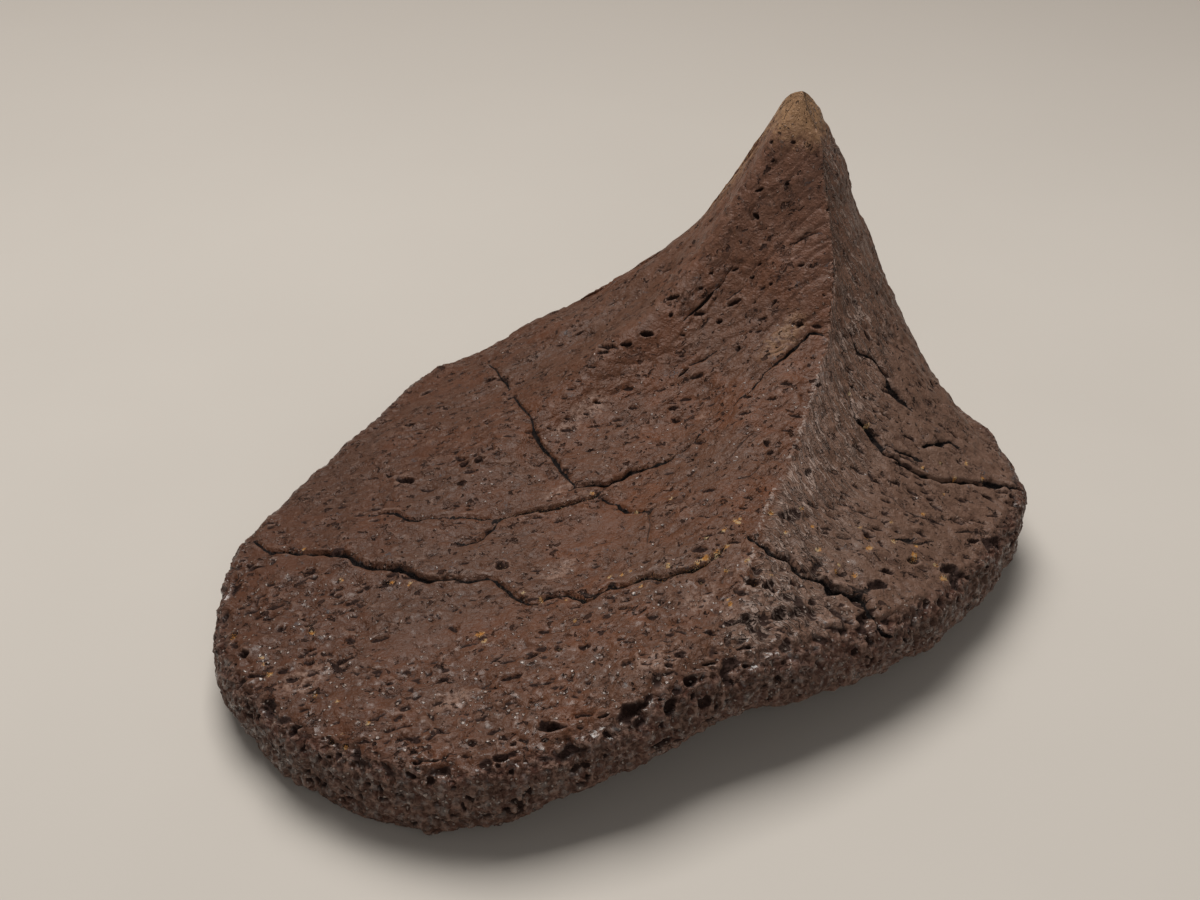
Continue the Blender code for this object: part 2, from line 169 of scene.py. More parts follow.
# ---------------------------------------------------------------- cracks
# Half width, depth, share of pale filling, then the route in the picture.
CRACKS = {
    "left_a": (0.50, 1.9, 0.05, [
        (244, 539), (255, 541), (267, 549), (290, 551), (314, 552), (343, 554), (355, 560),
        (369, 565), (404, 568), (418, 576), (435, 579), (455, 577), (467, 582), (486, 577),
        (495, 579),
    ]),
    "left_b": (0.42, 1.8, 0.20, [
        (488, 577), (497, 582), (511, 593), (527, 601), (542, 599), (560, 593), (582, 598), (591, 599),
        (603, 589), (619, 585),
    ]),
    "left_c": (0.42, 1.5, 0.45, [
        (603, 590), (619, 585), (631, 583), (644, 576), (664, 576), (684, 571), (705, 564),
        (723, 548),
    ]),
    "left_d": (0.22, 0.7, 0.0, [(578, 591), (592, 594), (604, 590), (611, 583)]),
    "foot": (0.52, 2.2, 0.0, [
        (750, 538), (761, 542), (772, 553), (787, 559), (802, 575), (817, 577), (834, 589),
        (856, 594), (869, 605), (872, 610), (878, 622), (881, 631), (888, 636),
    ]),
    "right": (0.42, 1.8, 0.05, [
        (856, 419), (865, 427), (876, 440), (884, 453), (895, 456), (906, 466), (917, 473),
        (932, 478), (947, 481), (965, 481), (986, 484), (1004, 486), (1022, 490),
    ]),
    "right_above": (0.22, 0.8, 0.0, [(843, 384), (852, 401), (856, 419)]),
    "spike": (0.30, 1.2, 0.0, [
        (851, 333), (859, 351), (874, 359), (884, 373), (893, 390), (904, 403), (912, 410),
    ]),
    "right_deep": (0.78, 2.0, 0.0, [(862, 422), (869, 430), (876, 438), (882, 446)]),
    "right_end": (0.55, 1.6, 0.0, [(984, 481), (996, 483), (1009, 485), (1020, 489)]),
    "spike_deep": (0.62, 1.5, 0.0, [(888, 380), (893, 389), (900, 400), (907, 405)]),
    "right_small": (0.38, 1.1, 0.0, [(895, 449), (904, 452), (914, 457), (921, 461)]),
    "right_hook": (0.44, 1.2, 0.0, [(923, 447), (938, 443), (949, 441), (958, 447)]),
    "cross_a": (0.24, 1.0, 0.0, [
        (488, 364), (497, 372), (507, 384), (517, 401), (529, 415), (533, 424),
    ]),
    "cross_b": (0.36, 1.3, 0.0, [
        (532, 420), (535, 435), (544, 448), (549, 454), (556, 462), (574, 484),
    ]),
    "keel_a": (0.42, 1.5, 0.05, [
        (570, 490), (577, 487), (590, 484), (607, 483), (623, 476), (635, 470), (648, 466),
        (660, 463),
    ]),
    "keel_b": (0.27, 1.1, 0.0, [
        (648, 467), (666, 461), (684, 450), (699, 435), (717, 419), (746, 395), (757, 382),
    ]),
    "keel_c": (0.3, 1.1, 0.0, [
        (752, 388), (764, 373), (781, 359), (798, 344), (809, 333), (818, 332), (823, 335),
    ]),
    "branch_a": (0.42, 1.5, 0.40, [
        (599, 493), (586, 499), (570, 502), (550, 507), (529, 511), (515, 514), (501, 518),
    ]),
    "branch_b": (0.3, 1.1, 0.1, [(501, 518), (490, 530), (478, 540), (466, 543), (458, 543)]),
    "branch_c": (0.24, 0.8, 0.3, [(503, 517), (488, 519), (470, 517), (454, 517)]),
    "ledge": (0.30, 1.1, 0.0, [
        (369, 516), (388, 512), (400, 514), (408, 519), (421, 519), (430, 516), (457, 518),
    ]),
    "turn_a": (0.36, 1.3, 0.1, [(603, 499), (615, 503), (627, 510), (637, 511), (648, 511)]),
    "turn_b": (0.22, 0.8, 0.3, [(645, 516), (655, 507), (666, 501)]),
    "turn_c": (0.16, 0.5, 0.2, [(648, 515), (649, 528), (647, 545)]),
    "dash_a": (0.18, 0.5, 0.0, [(735, 479), (750, 476), (760, 466)]),
    "dash_b": (0.18, 0.5, 0.0, [(731, 456), (746, 437), (754, 432)]),
    "dash_c": (0.2, 0.6, 0.0, [(852, 510), (865, 515), (876, 518)]),
    "dash_d": (0.2, 0.6, 0.0, [(906, 510), (928, 520), (945, 525)]),
    "dash_e": (0.2, 0.6, 0.0, [(954, 533), (967, 531), (984, 533)]),
    "dash_f": (0.22, 0.7, 0.0, [(846, 585), (862, 590), (880, 588)]),
    "dash_g": (0.16, 0.5, 0.0, [(930, 516), (946, 519), (962, 518), (985, 521)]),
    "dash_h": (0.2, 0.6, 0.2, [(900, 540), (916, 543), (934, 541)]),
    "dash_i": (0.16, 0.5, 0.0, [(880, 492), (892, 497), (901, 505)]),
    "dash_j": (0.18, 0.5, 0.1, [(806, 560), (818, 564), (828, 572)]),
    "dash_m": (0.2, 0.6, 0.0, [(802, 549), (810, 553), (818, 557)]),
    "dash_n": (0.3, 0.8, 0.0, [(893, 538), (903, 540), (914, 538)]),
    "dash_k": (0.16, 0.5, 0.0, [(786, 345), (776, 352), (764, 357)]),
    "dash_l": (0.16, 0.5, 0.0, [(745, 345), (736, 352), (727, 362)]),
    "slot_a": (0.26, 0.9, 0.0, [(684, 320), (699, 307), (709, 297), (720, 286)]),
    "slot_b": (0.16, 0.5, 0.0, [(720, 286), (731, 268), (740, 262)]),
    "slot_c": (0.16, 0.6, 0.0, [(790, 251), (798, 240), (806, 236), (818, 233)]),
    "slot_d": (0.22, 0.8, 0.0, [(690, 365), (703, 359), (716, 351)]),
    "slot_e": (0.22, 0.7, 0.0, [(727, 299), (742, 288)]),
    "arc": (0.2, 0.6, 0.0, [(412, 756), (424, 760), (440, 759), (456, 753)]),
    "web_a": (0.13, 0.4, 0.0, [(300, 610), (310, 618), (322, 613), (338, 612), (360, 606)]),
    "web_b": (0.12, 0.3, 0.0, [(352, 618), (380, 620), (404, 624), (430, 617), (450, 622)]),
}

# ---------------------------------------------------------------- single pits
# Picture point, half length, half width, angle in the picture, depth, share of ochre filling.
PITS = [
    (501, 566, 0.95, 0.85, 0, 1.1, 0.35), (754, 580, 0.85, 0.75, 0, 1.2, 0.3),
    (749, 619, 1.2, 0.9, 60, 1.5, 0), (780, 616, 1.2, 0.95, 60, 1.5, 0),
    (793, 584, 0.7, 0.6, 0, 0.9, 0), (813, 602, 0.7, 0.55, 0, 0.8, 0),
    (858, 606, 0.55, 0.45, 0, 0.7, 0), (878, 585, 1.6, 0.7, 5, 0.8, 0),
    (250, 566, 0.6, 0.55, 0, 0.8, 0), (373, 499, 0.35, 0.3, 0, 0.5, 0),
    (404, 480, 1.6, 0.62, -14, 1.2, 0), (391, 476, 0.9, 0.3, -10, 0.6, 0),
    (428, 393, 1.15, 0.68, 28, 1.2, 0), (411, 425, 1.0, 0.55, 12, 1.1, 0.1),
    (376, 428, 0.6, 0.5, 20, 0.6, 0), (395, 404, 0.5, 0.35, 40, 0.5, 0),
    (270, 526, 0.5, 0.35, 20, 0.5, 0), (480, 460, 0.95, 0.5, 8, 1.1, 0),
    (465, 463, 0.6, 0.45, 8, 1.0, 0), (447, 441, 0.55, 0.3, 20, 0.6, 0),
    (487, 423, 0.4, 0.25, 10, 0.5, 0), (490, 530, 0.8, 0.4, 10, 0.8, 0),
    (232, 636, 0.75, 0.6, 70, 0.7, 1), (243, 653, 0.95, 0.6, 0, 0.9, 0),
    (270, 584, 1.1, 0.3, -12, 0.6, 0), (303, 581, 1.0, 0.28, 25, 0.6, 0),
    (275, 607, 1.5, 0.32, 15, 0.6, 0.1), (311, 624, 0.9, 0.5, 15, 0.9, 0.5),
    (311, 632, 0.5, 0.4, 0, 0.3, 1), (341, 602, 0.85, 0.25, 25, 0.6, 0),
    (326, 653, 0.75, 0.42, 10, 0.8, 0), (335, 666, 1.15, 0.42, -42, 0.9, 0),
    (351, 642, 0.6, 0.55, 0, 0.5, 0.3), (377, 671, 0.85, 0.22, 10, 0.5, 0),
    (357, 673, 0.45, 0.35, 0, 0.6, 0), (454, 630, 0.7, 0.3, -30, 0.7, 0),
    (430, 597, 0.55, 0.2, 10, 0.4, 0), (398, 703, 0.5, 0.3, 15, 0.6, 0.1),
    (373, 718, 1.0, 0.25, 32, 0.6, 0.3), (315, 694, 0.9, 0.28, 82, 0.4, 0.9),
    (431, 716, 0.85, 0.35, -45, 0.8, 0), (447, 731, 0.6, 0.35, -30, 0.7, 0),
    (496, 660, 1.1, 0.26, 32, 0.6, 0.1), (490, 688, 1.3, 0.26, 8, 0.7, 0.1),
    (482, 718, 1.1, 0.2, 25, 0.5, 0), (472, 743, 0.6, 0.5, 0, 0.9, 0),
    (500, 758, 0.9, 0.6, 10, 0.9, 0), (383, 798, 0.6, 0.4, 0, 0.8, 0),
    (470, 798, 0.7, 0.6, 0, 0.9, 0), (367, 784, 0.5, 0.4, 0, 0.6, 0),
    (331, 742, 0.5, 0.4, 0, 0.6, 0.4), (345, 747, 0.5, 0.4, 0, 0.4, 0.9),
    (322, 766, 0.5, 0.35, 80, 0.4, 0.8), (701, 581, 0.55, 0.5, 0, 0.6, 0.5),
    (559, 648, 0.65, 0.5, 0, 0.7, 0.5), (585, 647, 0.8, 0.5, 0, 0.7, 0),
    (690, 681, 1.0, 0.85, 0, 1.1, 0), (680, 655, 0.75, 0.5, 0, 0.8, 0),
    (669, 665, 0.6, 0.4, 0, 0.7, 0), (631, 711, 1.5, 0.9, 15, 1.2, 0),
    (551, 727, 1.6, 0.7, 5, 1.1, 0.05), (513, 744, 0.5, 0.4, 0, 0.7, 0),
    (574, 625, 0.95, 0.24, 22, 0.6, 0), (643, 611, 0.9, 0.2, 40, 0.5, 0.2),
    (670, 707, 1.3, 0.8, 70, 1.1, 0), (660, 743, 1.8, 0.6, 28, 1.1, 0),
    (678, 740, 0.9, 0.35, 22, 0.8, 0), (709, 720, 0.9, 0.5, 18, 0.9, 0),
    (735, 719, 0.8, 0.3, 18, 0.7, 0), (582, 783, 0.95, 0.42, 28, 0.9, 0),
    (588, 776, 0.5, 0.35, 40, 0.6, 0), (550, 807, 1.0, 0.36, 35, 0.8, 0),
    (488, 815, 1.1, 0.5, 12, 0.9, 0), (497, 700, 0.4, 0.3, 0, 0.5, 0),
    (562, 688, 0.4, 0.3, 0, 0.6, 0), (588, 682, 0.45, 0.3, 0, 0.6, 0),
    (673, 297, 1.0, 0.36, 14, 0.9, 0), (625, 282, 0.35, 0.28, 0, 0.5, 0),
    (671, 287, 0.8, 0.3, 30, 0.6, 0), (671, 315, 0.45, 0.35, 60, 0.6, 0),
    (719, 321, 0.55, 0.36, 20, 0.8, 0), (647, 334, 1.15, 0.5, -4, 1.2, 0),
    (607, 346, 2.0, 0.46, -3, 1.2, 0), (626, 344, 1.0, 0.36, 6, 0.9, 0),
    (580, 333, 1.0, 0.22, 25, 0.6, 0), (588, 350, 0.6, 0.26, 10, 0.6, 0),
    (738, 349, 0.42, 0.36, 0, 0.7, 0), (756, 216, 0.65, 0.38, -45, 0.8, 0),
    (787, 184, 0.42, 0.3, 0, 0.5, 0), (771, 284, 0.35, 0.25, 0, 0.5, 0),
    (774, 303, 0.8, 0.2, 45, 0.5, 0), (752, 277, 0.5, 0.25, 10, 0.6, 0),
    (701, 288, 0.45, 0.3, 0, 0.5, 0), (679, 247, 0.6, 0.3, 30, 0.6, 0),
    (799, 326, 0.6, 0.2, 45, 0.4, 0), (867, 336, 1.0, 0.3, -60, 0.7, 0),
    (818, 384, 0.5, 0.4, 0, 0.7, 0), (673, 408, 0.8, 0.42, 10, 0.7, 0),
    (684, 372, 1.1, 0.26, 40, 0.7, 0), (662, 390, 0.8, 0.2, 20, 0.4, 0),
    (614, 453, 0.6, 0.34, -5, 0.7, 0), (767, 442, 0.5, 0.4, 45, 0.7, 0),
    (771, 142, 0.4, 0.3, 0, 0.4, 0), (793, 142, 0.4, 0.3, 0, 0.4, 0),
    (896, 483, 0.9, 0.3, -15, 0.7, 0), (912, 492, 0.9, 0.3, -35, 0.7, 0),
    (871, 476, 0.9, 0.25, -60, 0.6, 0), (884, 512, 0.4, 0.3, 0, 0.5, 0),
    (906, 514, 0.45, 0.3, -20, 0.5, 0), (1012, 496, 0.6, 0.35, -10, 0.6, 0),
    (869, 535, 0.8, 0.3, -20, 0.7, 0), (882, 545, 0.4, 0.3, 0, 0.5, 0),
    (914, 561, 1.0, 0.5, 0, 0.8, 0.5), (889, 571, 0.8, 0.45, -35, 0.8, 0),
    (950, 570, 1.4, 0.8, 10, 0.9, 0.1), (974, 541, 1.3, 0.5, 10, 0.8, 0),
    (790, 515, 1.5, 1.1, 30, 0.6, 0), (808, 472, 0.7, 0.5, 60, 0.6, 0),
    (770, 452, 0.6, 0.4, 30, 0.5, 0), (781, 558, 1.0, 0.45, -30, 0.8, 0),
    (833, 591, 1.3, 1.0, 0, 1.2, 0.1), (768, 585, 1.0, 0.7, 70, 1.2, 0.1),
]

# Ochre crumbs caught in the surface: picture point and half width.
CRUMBS = [
    (850, 393, 0.3), (813, 526, 0.35), (917, 545, 0.35), (935, 565, 0.4), (944, 578, 0.55),
    (835, 572, 0.3), (955, 478, 0.3), (983, 478, 0.3), (592, 493, 0.35), (635, 510, 0.35),
    (341, 580, 0.3), (392, 582, 0.4), (410, 583, 0.3), (303, 548, 0.3), (480, 634, 0.45),
    (485, 641, 0.35), (540, 598, 0.3), (566, 600, 0.25), (523, 592, 0.3), (575, 620, 0.25),
    (609, 577, 0.35), (622, 575, 0.3), (630, 571, 0.25), (641, 585, 0.3), (668, 565, 0.35),
    (697, 563, 0.4), (706, 558, 0.45), (716, 551, 0.4), (727, 546, 0.35), (738, 523, 0.4),
    (740, 518, 0.3), (671, 498, 0.3), (262, 665, 0.35), (270, 674, 0.4), (262, 657, 0.3),
    (801, 509, 0.4), (771, 513, 0.4), (868, 424, 0.3), (891, 523, 0.3), (894, 541, 0.4),
    (869, 549, 0.45), (867, 537, 0.35), (914, 555, 0.5), (855, 574, 0.4), (839, 565, 0.3),
    (819, 549, 0.4), (747, 561, 0.45), (786, 532, 0.3), (723, 529, 0.4), (706, 538, 0.35),
    (966, 463, 0.35), (941, 462, 0.3), (923, 467, 0.3), (923, 514, 0.35), (944, 494, 0.25),
    (772, 575, 0.4), (703, 558, 0.35), (726, 570, 0.3), (735, 520, 0.35), (860, 527, 0.3),
    (337, 700, 0.3), (368, 722, 0.35), (342, 733, 0.3), (730, 604, 0.35), (728, 598, 0.3),
]

# Smooth reddish patches: picture point, half size across and up the picture, in millimetres.
SMOOTH_PATCHES = [
    (598, 530, 6.5, 4.0), (415, 640, 7.5, 4.0), (440, 392, 8.0, 4.0), (640, 330, 7.0, 3.5),
    (300, 560, 4.0, 2.5), (870, 655, 3.0, 2.0), (480, 620, 6.0, 3.0),
]
# Pale worn blotches on the surface: picture point and half size.
WORN_BLOTCHES = [
    (590, 405, 3.2, 2.0), (570, 425, 3.2, 1.2), (600, 398, 1.6, 1.4), (705, 415, 1.4, 0.8),
    (560, 490, 3.0, 1.2), (300, 680, 4.0, 2.2), (700, 600, 3.0, 1.8), (735, 615, 2.0, 3.0),
    (560, 570, 3.0, 1.5), (450, 700, 3.0, 2.0), (655, 660, 4.0, 2.5),
]


def eased(value):
    value = np.clip(value, 0, 1)
    return value * value * (3 - 2 * value)


def unit(vectors):
    return vectors / np.maximum(np.linalg.norm(vectors, axis=-1, keepdims=True), 1e-9)


def spline(points, at, closed=False):
    """Catmull-Rom curve through the points, read at places counted in points."""
    points = np.asarray(points, float)
    count = len(points)
    low = np.floor(at).astype(int)
    if not closed:
        low = np.clip(low, 0, count - 2)
    t = (at - low)[:, None]

    def point(index):
        if closed:
            return points[index % count]
        inside = np.clip(index, 0, count - 1)
        slope = np.where((index < 0)[:, None], points[1] - points[0], points[-1] - points[-2])
        return points[inside] + (index - inside)[:, None] * slope

    before, start, end, after = (point(low + step) for step in (-1, 0, 1, 2))
    return 0.5 * (
        2 * start
        + (end - before) * t
        + (2 * before - 5 * start + 4 * end - after) * t**2
        + (3 * start - before - 3 * end + after) * t**3
    )


def even_points(points, count, closed=False, crowding=1.0):
    """Points at even steps of the spline's length, and their places; crowding packs the start."""
    last = len(points) if closed else len(points) - 1
    fine = np.linspace(0, last, 40 * last + 1)
    curve = spline(points, fine, closed)
    steps = np.linalg.norm(np.diff(curve[:, :3], axis=0), axis=1)
    length = np.concatenate([[0], np.cumsum(steps)])
    share = np.arange(count) / count if closed else np.linspace(0, 1, count)
    places = np.interp(share**crowding * length[-1], length, fine)
    return spline(points, places, closed), places


# ---------------------------------------------------------------- the plate's form
def hang_top(shoulder, places):
    """The top's rings: every line down the spike is set first, the rest hangs between them."""
    tip = np.array(TIP, float)
    share = np.linspace(0, 1, TOP_RINGS + 1) ** CROWDING
    rings = tip + share[:, None, None] * (shoulder - tip)
    set_down = np.zeros(rings.shape[:2], bool)
    set_down[0] = set_down[-1] = True
    face_columns = []
    for rim_point, line in [*RIBS.items(), *FACES.items()]:
        gap = np.abs(places - rim_point)
        column = int(np.argmin(np.minimum(gap, len(RIM) - gap)))
        points = [TIP, *line, tuple(shoulder[column])]
        rings[:, column] = even_points(points, TOP_RINGS + 1, crowding=CROWDING)[0]
        set_down[:, column] = True
        if rim_point in FACES:
            face_columns.append(column)
    for _ in range(HANGING_STEPS):
        mean = (np.roll(rings, 1, 1) + np.roll(rings, -1, 1)) / 4
        mean[1:-1] += (rings[:-2] + rings[2:]) / 4
        rings[~set_down] = mean[~set_down]
    # The lines down the faces soften, most of all near the tip, where they run close together.
    set_down[1:-1, face_columns] = False
    softness = 0.1 + 0.9 * (1 - eased((np.arange(TOP_RINGS + 1) - 2) / 18))
    for _ in range(EASING_STEPS):
        mean = (np.roll(rings, 1, 1) + np.roll(rings, -1, 1)) / 2
        moved = rings + softness[:, None, None] * 0.5 * (mean - rings)
        rings[~set_down] = moved[~set_down]
    return rings


def skin_rings():
    """The whole skin as rings of points, from the tip to just above the dish's middle."""
    rim, places = even_points(RIM, COLUMNS, closed=True)
    outline = rim[:, :2]
    top, bottom, bevel = rim[:, 2], rim[:, 3], rim[:, 4]
    along = unit(np.roll(outline, -1, 0) - np.roll(outline, 1, 0))
    inward = np.column_stack([along[:, 1], -along[:, 0]])

    def level(inset, height):
        return np.column_stack([outline + inward * np.reshape(inset, (-1, 1)), height])

    rings = list(hang_top(level(bevel, top), places))
    quarter = np.linspace(0, math.pi / 2, ROLL_RINGS + 1)
    for angle in quarter[1:]:
        drop = bevel * ROLL_FLATNESS * (1 - math.cos(angle))
        rings.append(level(bevel * (1 - math.sin(angle)), top - drop))
    for angle in quarter:
        inset = np.full(COLUMNS, UNDER_ROLL * (1 - math.cos(angle)))
        rings.append(level(inset, bottom + UNDER_ROLL * ROLL_FLATNESS * (1 - math.sin(angle))))
    edge = rings[-1]
    middle = np.array([*outline.mean(0), DISH_HEIGHT])
    for share in np.arange(1, UNDER_RINGS) / UNDER_RINGS:
        ring = edge + (middle - edge) * share
        ring[:, 2] = edge[:, 2] + (DISH_HEIGHT - edge[:, 2]) * eased(share)
        rings.append(ring)
    rings = np.array(rings)
    rings[:, :, :2] -= MIDDLE
    middle[:2] -= MIDDLE
    points = (BACK_RIM_POINT, SHOULDER_RIM_POINT)
    return rings, middle, [int(np.argmin(np.abs(places - point))) for point in points]


def deselect():
    bpy.ops.object.select_all(action="DESELECT")


def apply_modifier(obj, kind, **settings):
    deselect()
    obj.select_set(True)
    bpy.context.view_layer.objects.active = obj
    modifier = obj.modifiers.new(kind.lower(), kind)
    for name, value in settings.items():
        setattr(modifier, name, value)
    bpy.ops.object.modifier_apply(modifier=modifier.name)


def store(mesh, name, values, domain="POINT"):
    """Keeps one number or one vector for each point of the mesh."""
    kind, key = ("FLOAT", "value") if values.ndim == 1 else ("FLOAT_VECTOR", "vector")
    layer = mesh.attributes.get(name) or mesh.attributes.new(name, kind, domain)
    layer.data.foreach_set(key, np.ascontiguousarray(values, np.float32).ravel())


def stored(mesh, name):
    values = np.empty(len(mesh.vertices), np.float32)
    mesh.attributes[name].data.foreach_get("value", values)
    return values


def read_points(mesh):
    """The mesh's points in millimetres, and its normals."""
    points = np.empty(len(mesh.vertices) * 3, np.float32)
    normals = np.empty(len(mesh.vertices) * 3, np.float32)
    mesh.vertices.foreach_get("co", points)
    mesh.vertices.foreach_get("normal", normals)
    return points.reshape(-1, 3) / MM, normals.reshape(-1, 3)


def write_points(mesh, points):
    mesh.vertices.foreach_set("co", (np.asarray(points, np.float32) * MM).ravel())
    mesh.update()


def build_skin():
    """The smooth plate: a ball whose points are moved on to the rings, then subdivided."""
    rings, middle, (back_column, shoulder_column) = skin_rings()
    along, across = grain_of(rings, back_column)
    deselect()
    bpy.ops.mesh.primitive_uv_sphere_add(
        segments=COLUMNS, ring_count=len(rings), radius=1, calc_uvs=False
    )
    scute = bpy.context.object
    scute.name = scute.data.name = "scute_bone"
    mesh = scute.data
    ball = np.empty(len(mesh.vertices) * 3)
    mesh.vertices.foreach_get("co", ball)
    ball = ball.reshape(-1, 3)
    ring = np.rint(np.arccos(np.clip(ball[:, 2], -1, 1)) / math.pi * len(rings)).astype(int)
    column = np.rint(-np.arctan2(ball[:, 1], ball[:, 0]) / math.tau * COLUMNS).astype(int)
    column %= COLUMNS
    last = len(rings) - 1
    points = np.where((ring > last)[:, None], middle, rings[np.minimum(ring, last), column])
    write_points(mesh, points)
    deselect()
    scute.select_set(True)
    bpy.context.view_layer.objects.active = scute
    bpy.ops.object.mode_set(mode="EDIT")
    bpy.ops.mesh.select_all(action="SELECT")
    bpy.ops.mesh.normals_make_consistent(inside=False)
    bpy.ops.object.mode_set(mode="OBJECT")

    on_wall = (ring > WALL_RINGS.start) & (ring <= WALL_RINGS.stop)
    store(mesh, "wall", on_wall.astype(float))
    store(mesh, "underside", (ring > WALL_RINGS.stop).astype(float))
    depth = np.minimum(ring, TOP_RINGS + 2 * ROLL_RINGS + 1)
    store(mesh, "ring", ring.astype(float))
    store(mesh, "right", ((column > back_column) & (column < COLUMNS)).astype(float))
    store(mesh, "along", along[depth, column])
    store(mesh, "across", across[depth, column])
    on_keel = (column == 0) & (ring > 1) & (ring < TOP_RINGS - 1)
    ends = np.empty(len(mesh.edges) * 2, int)
    mesh.edges.foreach_get("vertices", ends)
    crease = KEEL_CREASE * on_keel[ends.reshape(-1, 2)].all(1)
    store(mesh, "crease_edge", crease, "EDGE")
    apply_modifier(scute, "SUBSURF", levels=FIRST_LEVELS, render_levels=FIRST_LEVELS)
    return scute, rings, shoulder_column


# ---------------------------------------------------------------- sight lines
def camera_axes():
    azimuth, elevation = math.radians(CAMERA_AZIMUTH), math.radians(CAMERA_ELEVATION)
    back = np.array([
        math.sin(azimuth) * math.cos(elevation),
        -math.cos(azimuth) * math.cos(elevation),
        math.sin(elevation),
    ])
    right = np.array([math.cos(azimuth), math.sin(azimuth), 0])
    return back, right, np.cross(back, right), CAMERA_TARGET + CAMERA_DISTANCE * back


def seen_at(tree, x, y):
    """The point of the plate that the camera sees at a picture point, and the normal there."""
    back, right, up, eye = camera_axes()
    focal = CAMERA_LENS / CAMERA_SENSOR * PICTURE[0]
    ray = (right * (x - PICTURE[0] / 2) + up * (PICTURE[1] / 2 - y)) / focal - back
    hit, normal = tree.ray_cast(Vector(eye), Vector(ray))[:2]
    return (None, None) if hit is None else (np.array(hit), np.array(normal))


def seen_line(tree, x, y, angle):
    """The point at a picture point, the plate's normal there, and the line that shows at an angle."""
    step = 6
    turn = math.radians(angle)
    here, normal = seen_at(tree, x, y)
    if here is None:
        return None, None, None
    ends = [
        seen_at(tree, x + way * step * math.cos(turn), y - way * step * math.sin(turn))[0]
        for way in (1, -1)
    ]
    ahead, behind = (here if end is None else end for end in ends)
    line = ahead - behind
    line -= normal * (line @ normal)
    return here, normal, line / max(np.linalg.norm(line), 1e-6)


# ---------------------------------------------------------------- grain
def cage_tree(rings):
    """The rings as a surface for sight lines."""
    rows, columns = rings.shape[:2]
    index = np.arange(rows * columns).reshape(rows, columns)
    faces = []
    for row in range(rows - 1):
        for column in range(columns):
            after = (column + 1) % columns
            faces.append((index[row, column], index[row, after], index[row + 1, after], index[row + 1, column]))
    return BVHTree.FromPolygons(rings.reshape(-1, 3).tolist(), faces)


def grain_of(rings, back_column):
    """Two numbers for each cage point: how far it lies along the grain and across it."""
    rows = rings[: TOP_RINGS + 2 * ROLL_RINGS + 2]
    tree = cage_tree(rings)
    down = np.gradient(rows, axis=0)
    side = np.roll(rows, -1, 1) - np.roll(rows, 1, 1)
    normal = unit(np.cross(side, down))
    normal[0] = (0, 0, 1)
    angle = np.zeros(rows.shape[:2])
    column = np.arange(COLUMNS)
    halves = (
        (column <= back_column, GRAIN_LEFT, GRAIN_BEHIND_LEFT),
        (column > back_column, GRAIN_RIGHT, GRAIN_BEHIND_RIGHT),
    )
    for columns, seen, behind in halves:
        places, turns = [], []
        for x, y, picture_angle in seen:
            here, _, line = seen_line(tree, x, y, picture_angle)
            if here is not None:
                places.append(here[:2])
                turns.append(math.atan2(line[1], line[0]))
        for x, y, plan_angle in behind:
            places.append((x - MIDDLE[0], y - MIDDLE[1]))
            turns.append(math.radians(plan_angle))
        places, turns = np.array(places), np.array(turns)
        gap = np.linalg.norm(rows[:, columns, None, :2] - places, axis=-1)
        weight = 1 / (gap**2 + 9) ** 1.5
        angle[:, columns] = (weight * turns).sum(-1) / weight.sum(-1)
    flat = np.stack([np.cos(angle), np.sin(angle), np.zeros_like(angle)], -1)
    flat[..., 2] = -(flat * normal).sum(-1) / np.maximum(normal[..., 2], 0.35)
    line = unit(flat - normal * (flat * normal).sum(-1, keepdims=True))
    beside_line = np.cross(normal, line)
    return [settle(rows, way) for way in (line, beside_line)]


def settle(rows, way):
    """The number whose steep side points the given way all over, as nearly as can be."""
    def climb(step, here, there):
        return (step * (here + there) / 2).sum(-1)

    right_step = climb(np.roll(rows, -1, 1) - rows, way, np.roll(way, -1, 1))
    down_step = climb(rows[1:] - rows[:-1], way[:-1], way[1:])
    value = (rows * (1, 0, 0)).sum(-1)
    parts = np.full(value.shape, 4.0)
    parts[0] = parts[-1] = 3
    for _ in range(GRAIN_STEPS):
        total = np.roll(value, -1, 1) - right_step + np.roll(value + right_step, 1, 1)
        total[:-1] += value[1:] - down_step
        total[1:] += value[:-1] + down_step
        value = total / parts
    return value


# ---------------------------------------------------------------- relief
def noise_layer(points, height, seed=0.0):
    offset = np.array([seed, 1.7 * seed, -0.6 * seed])
    found = [noise.noise(Vector(point)) for point in (points + offset).tolist()]
    return height * np.array(found, np.float32)


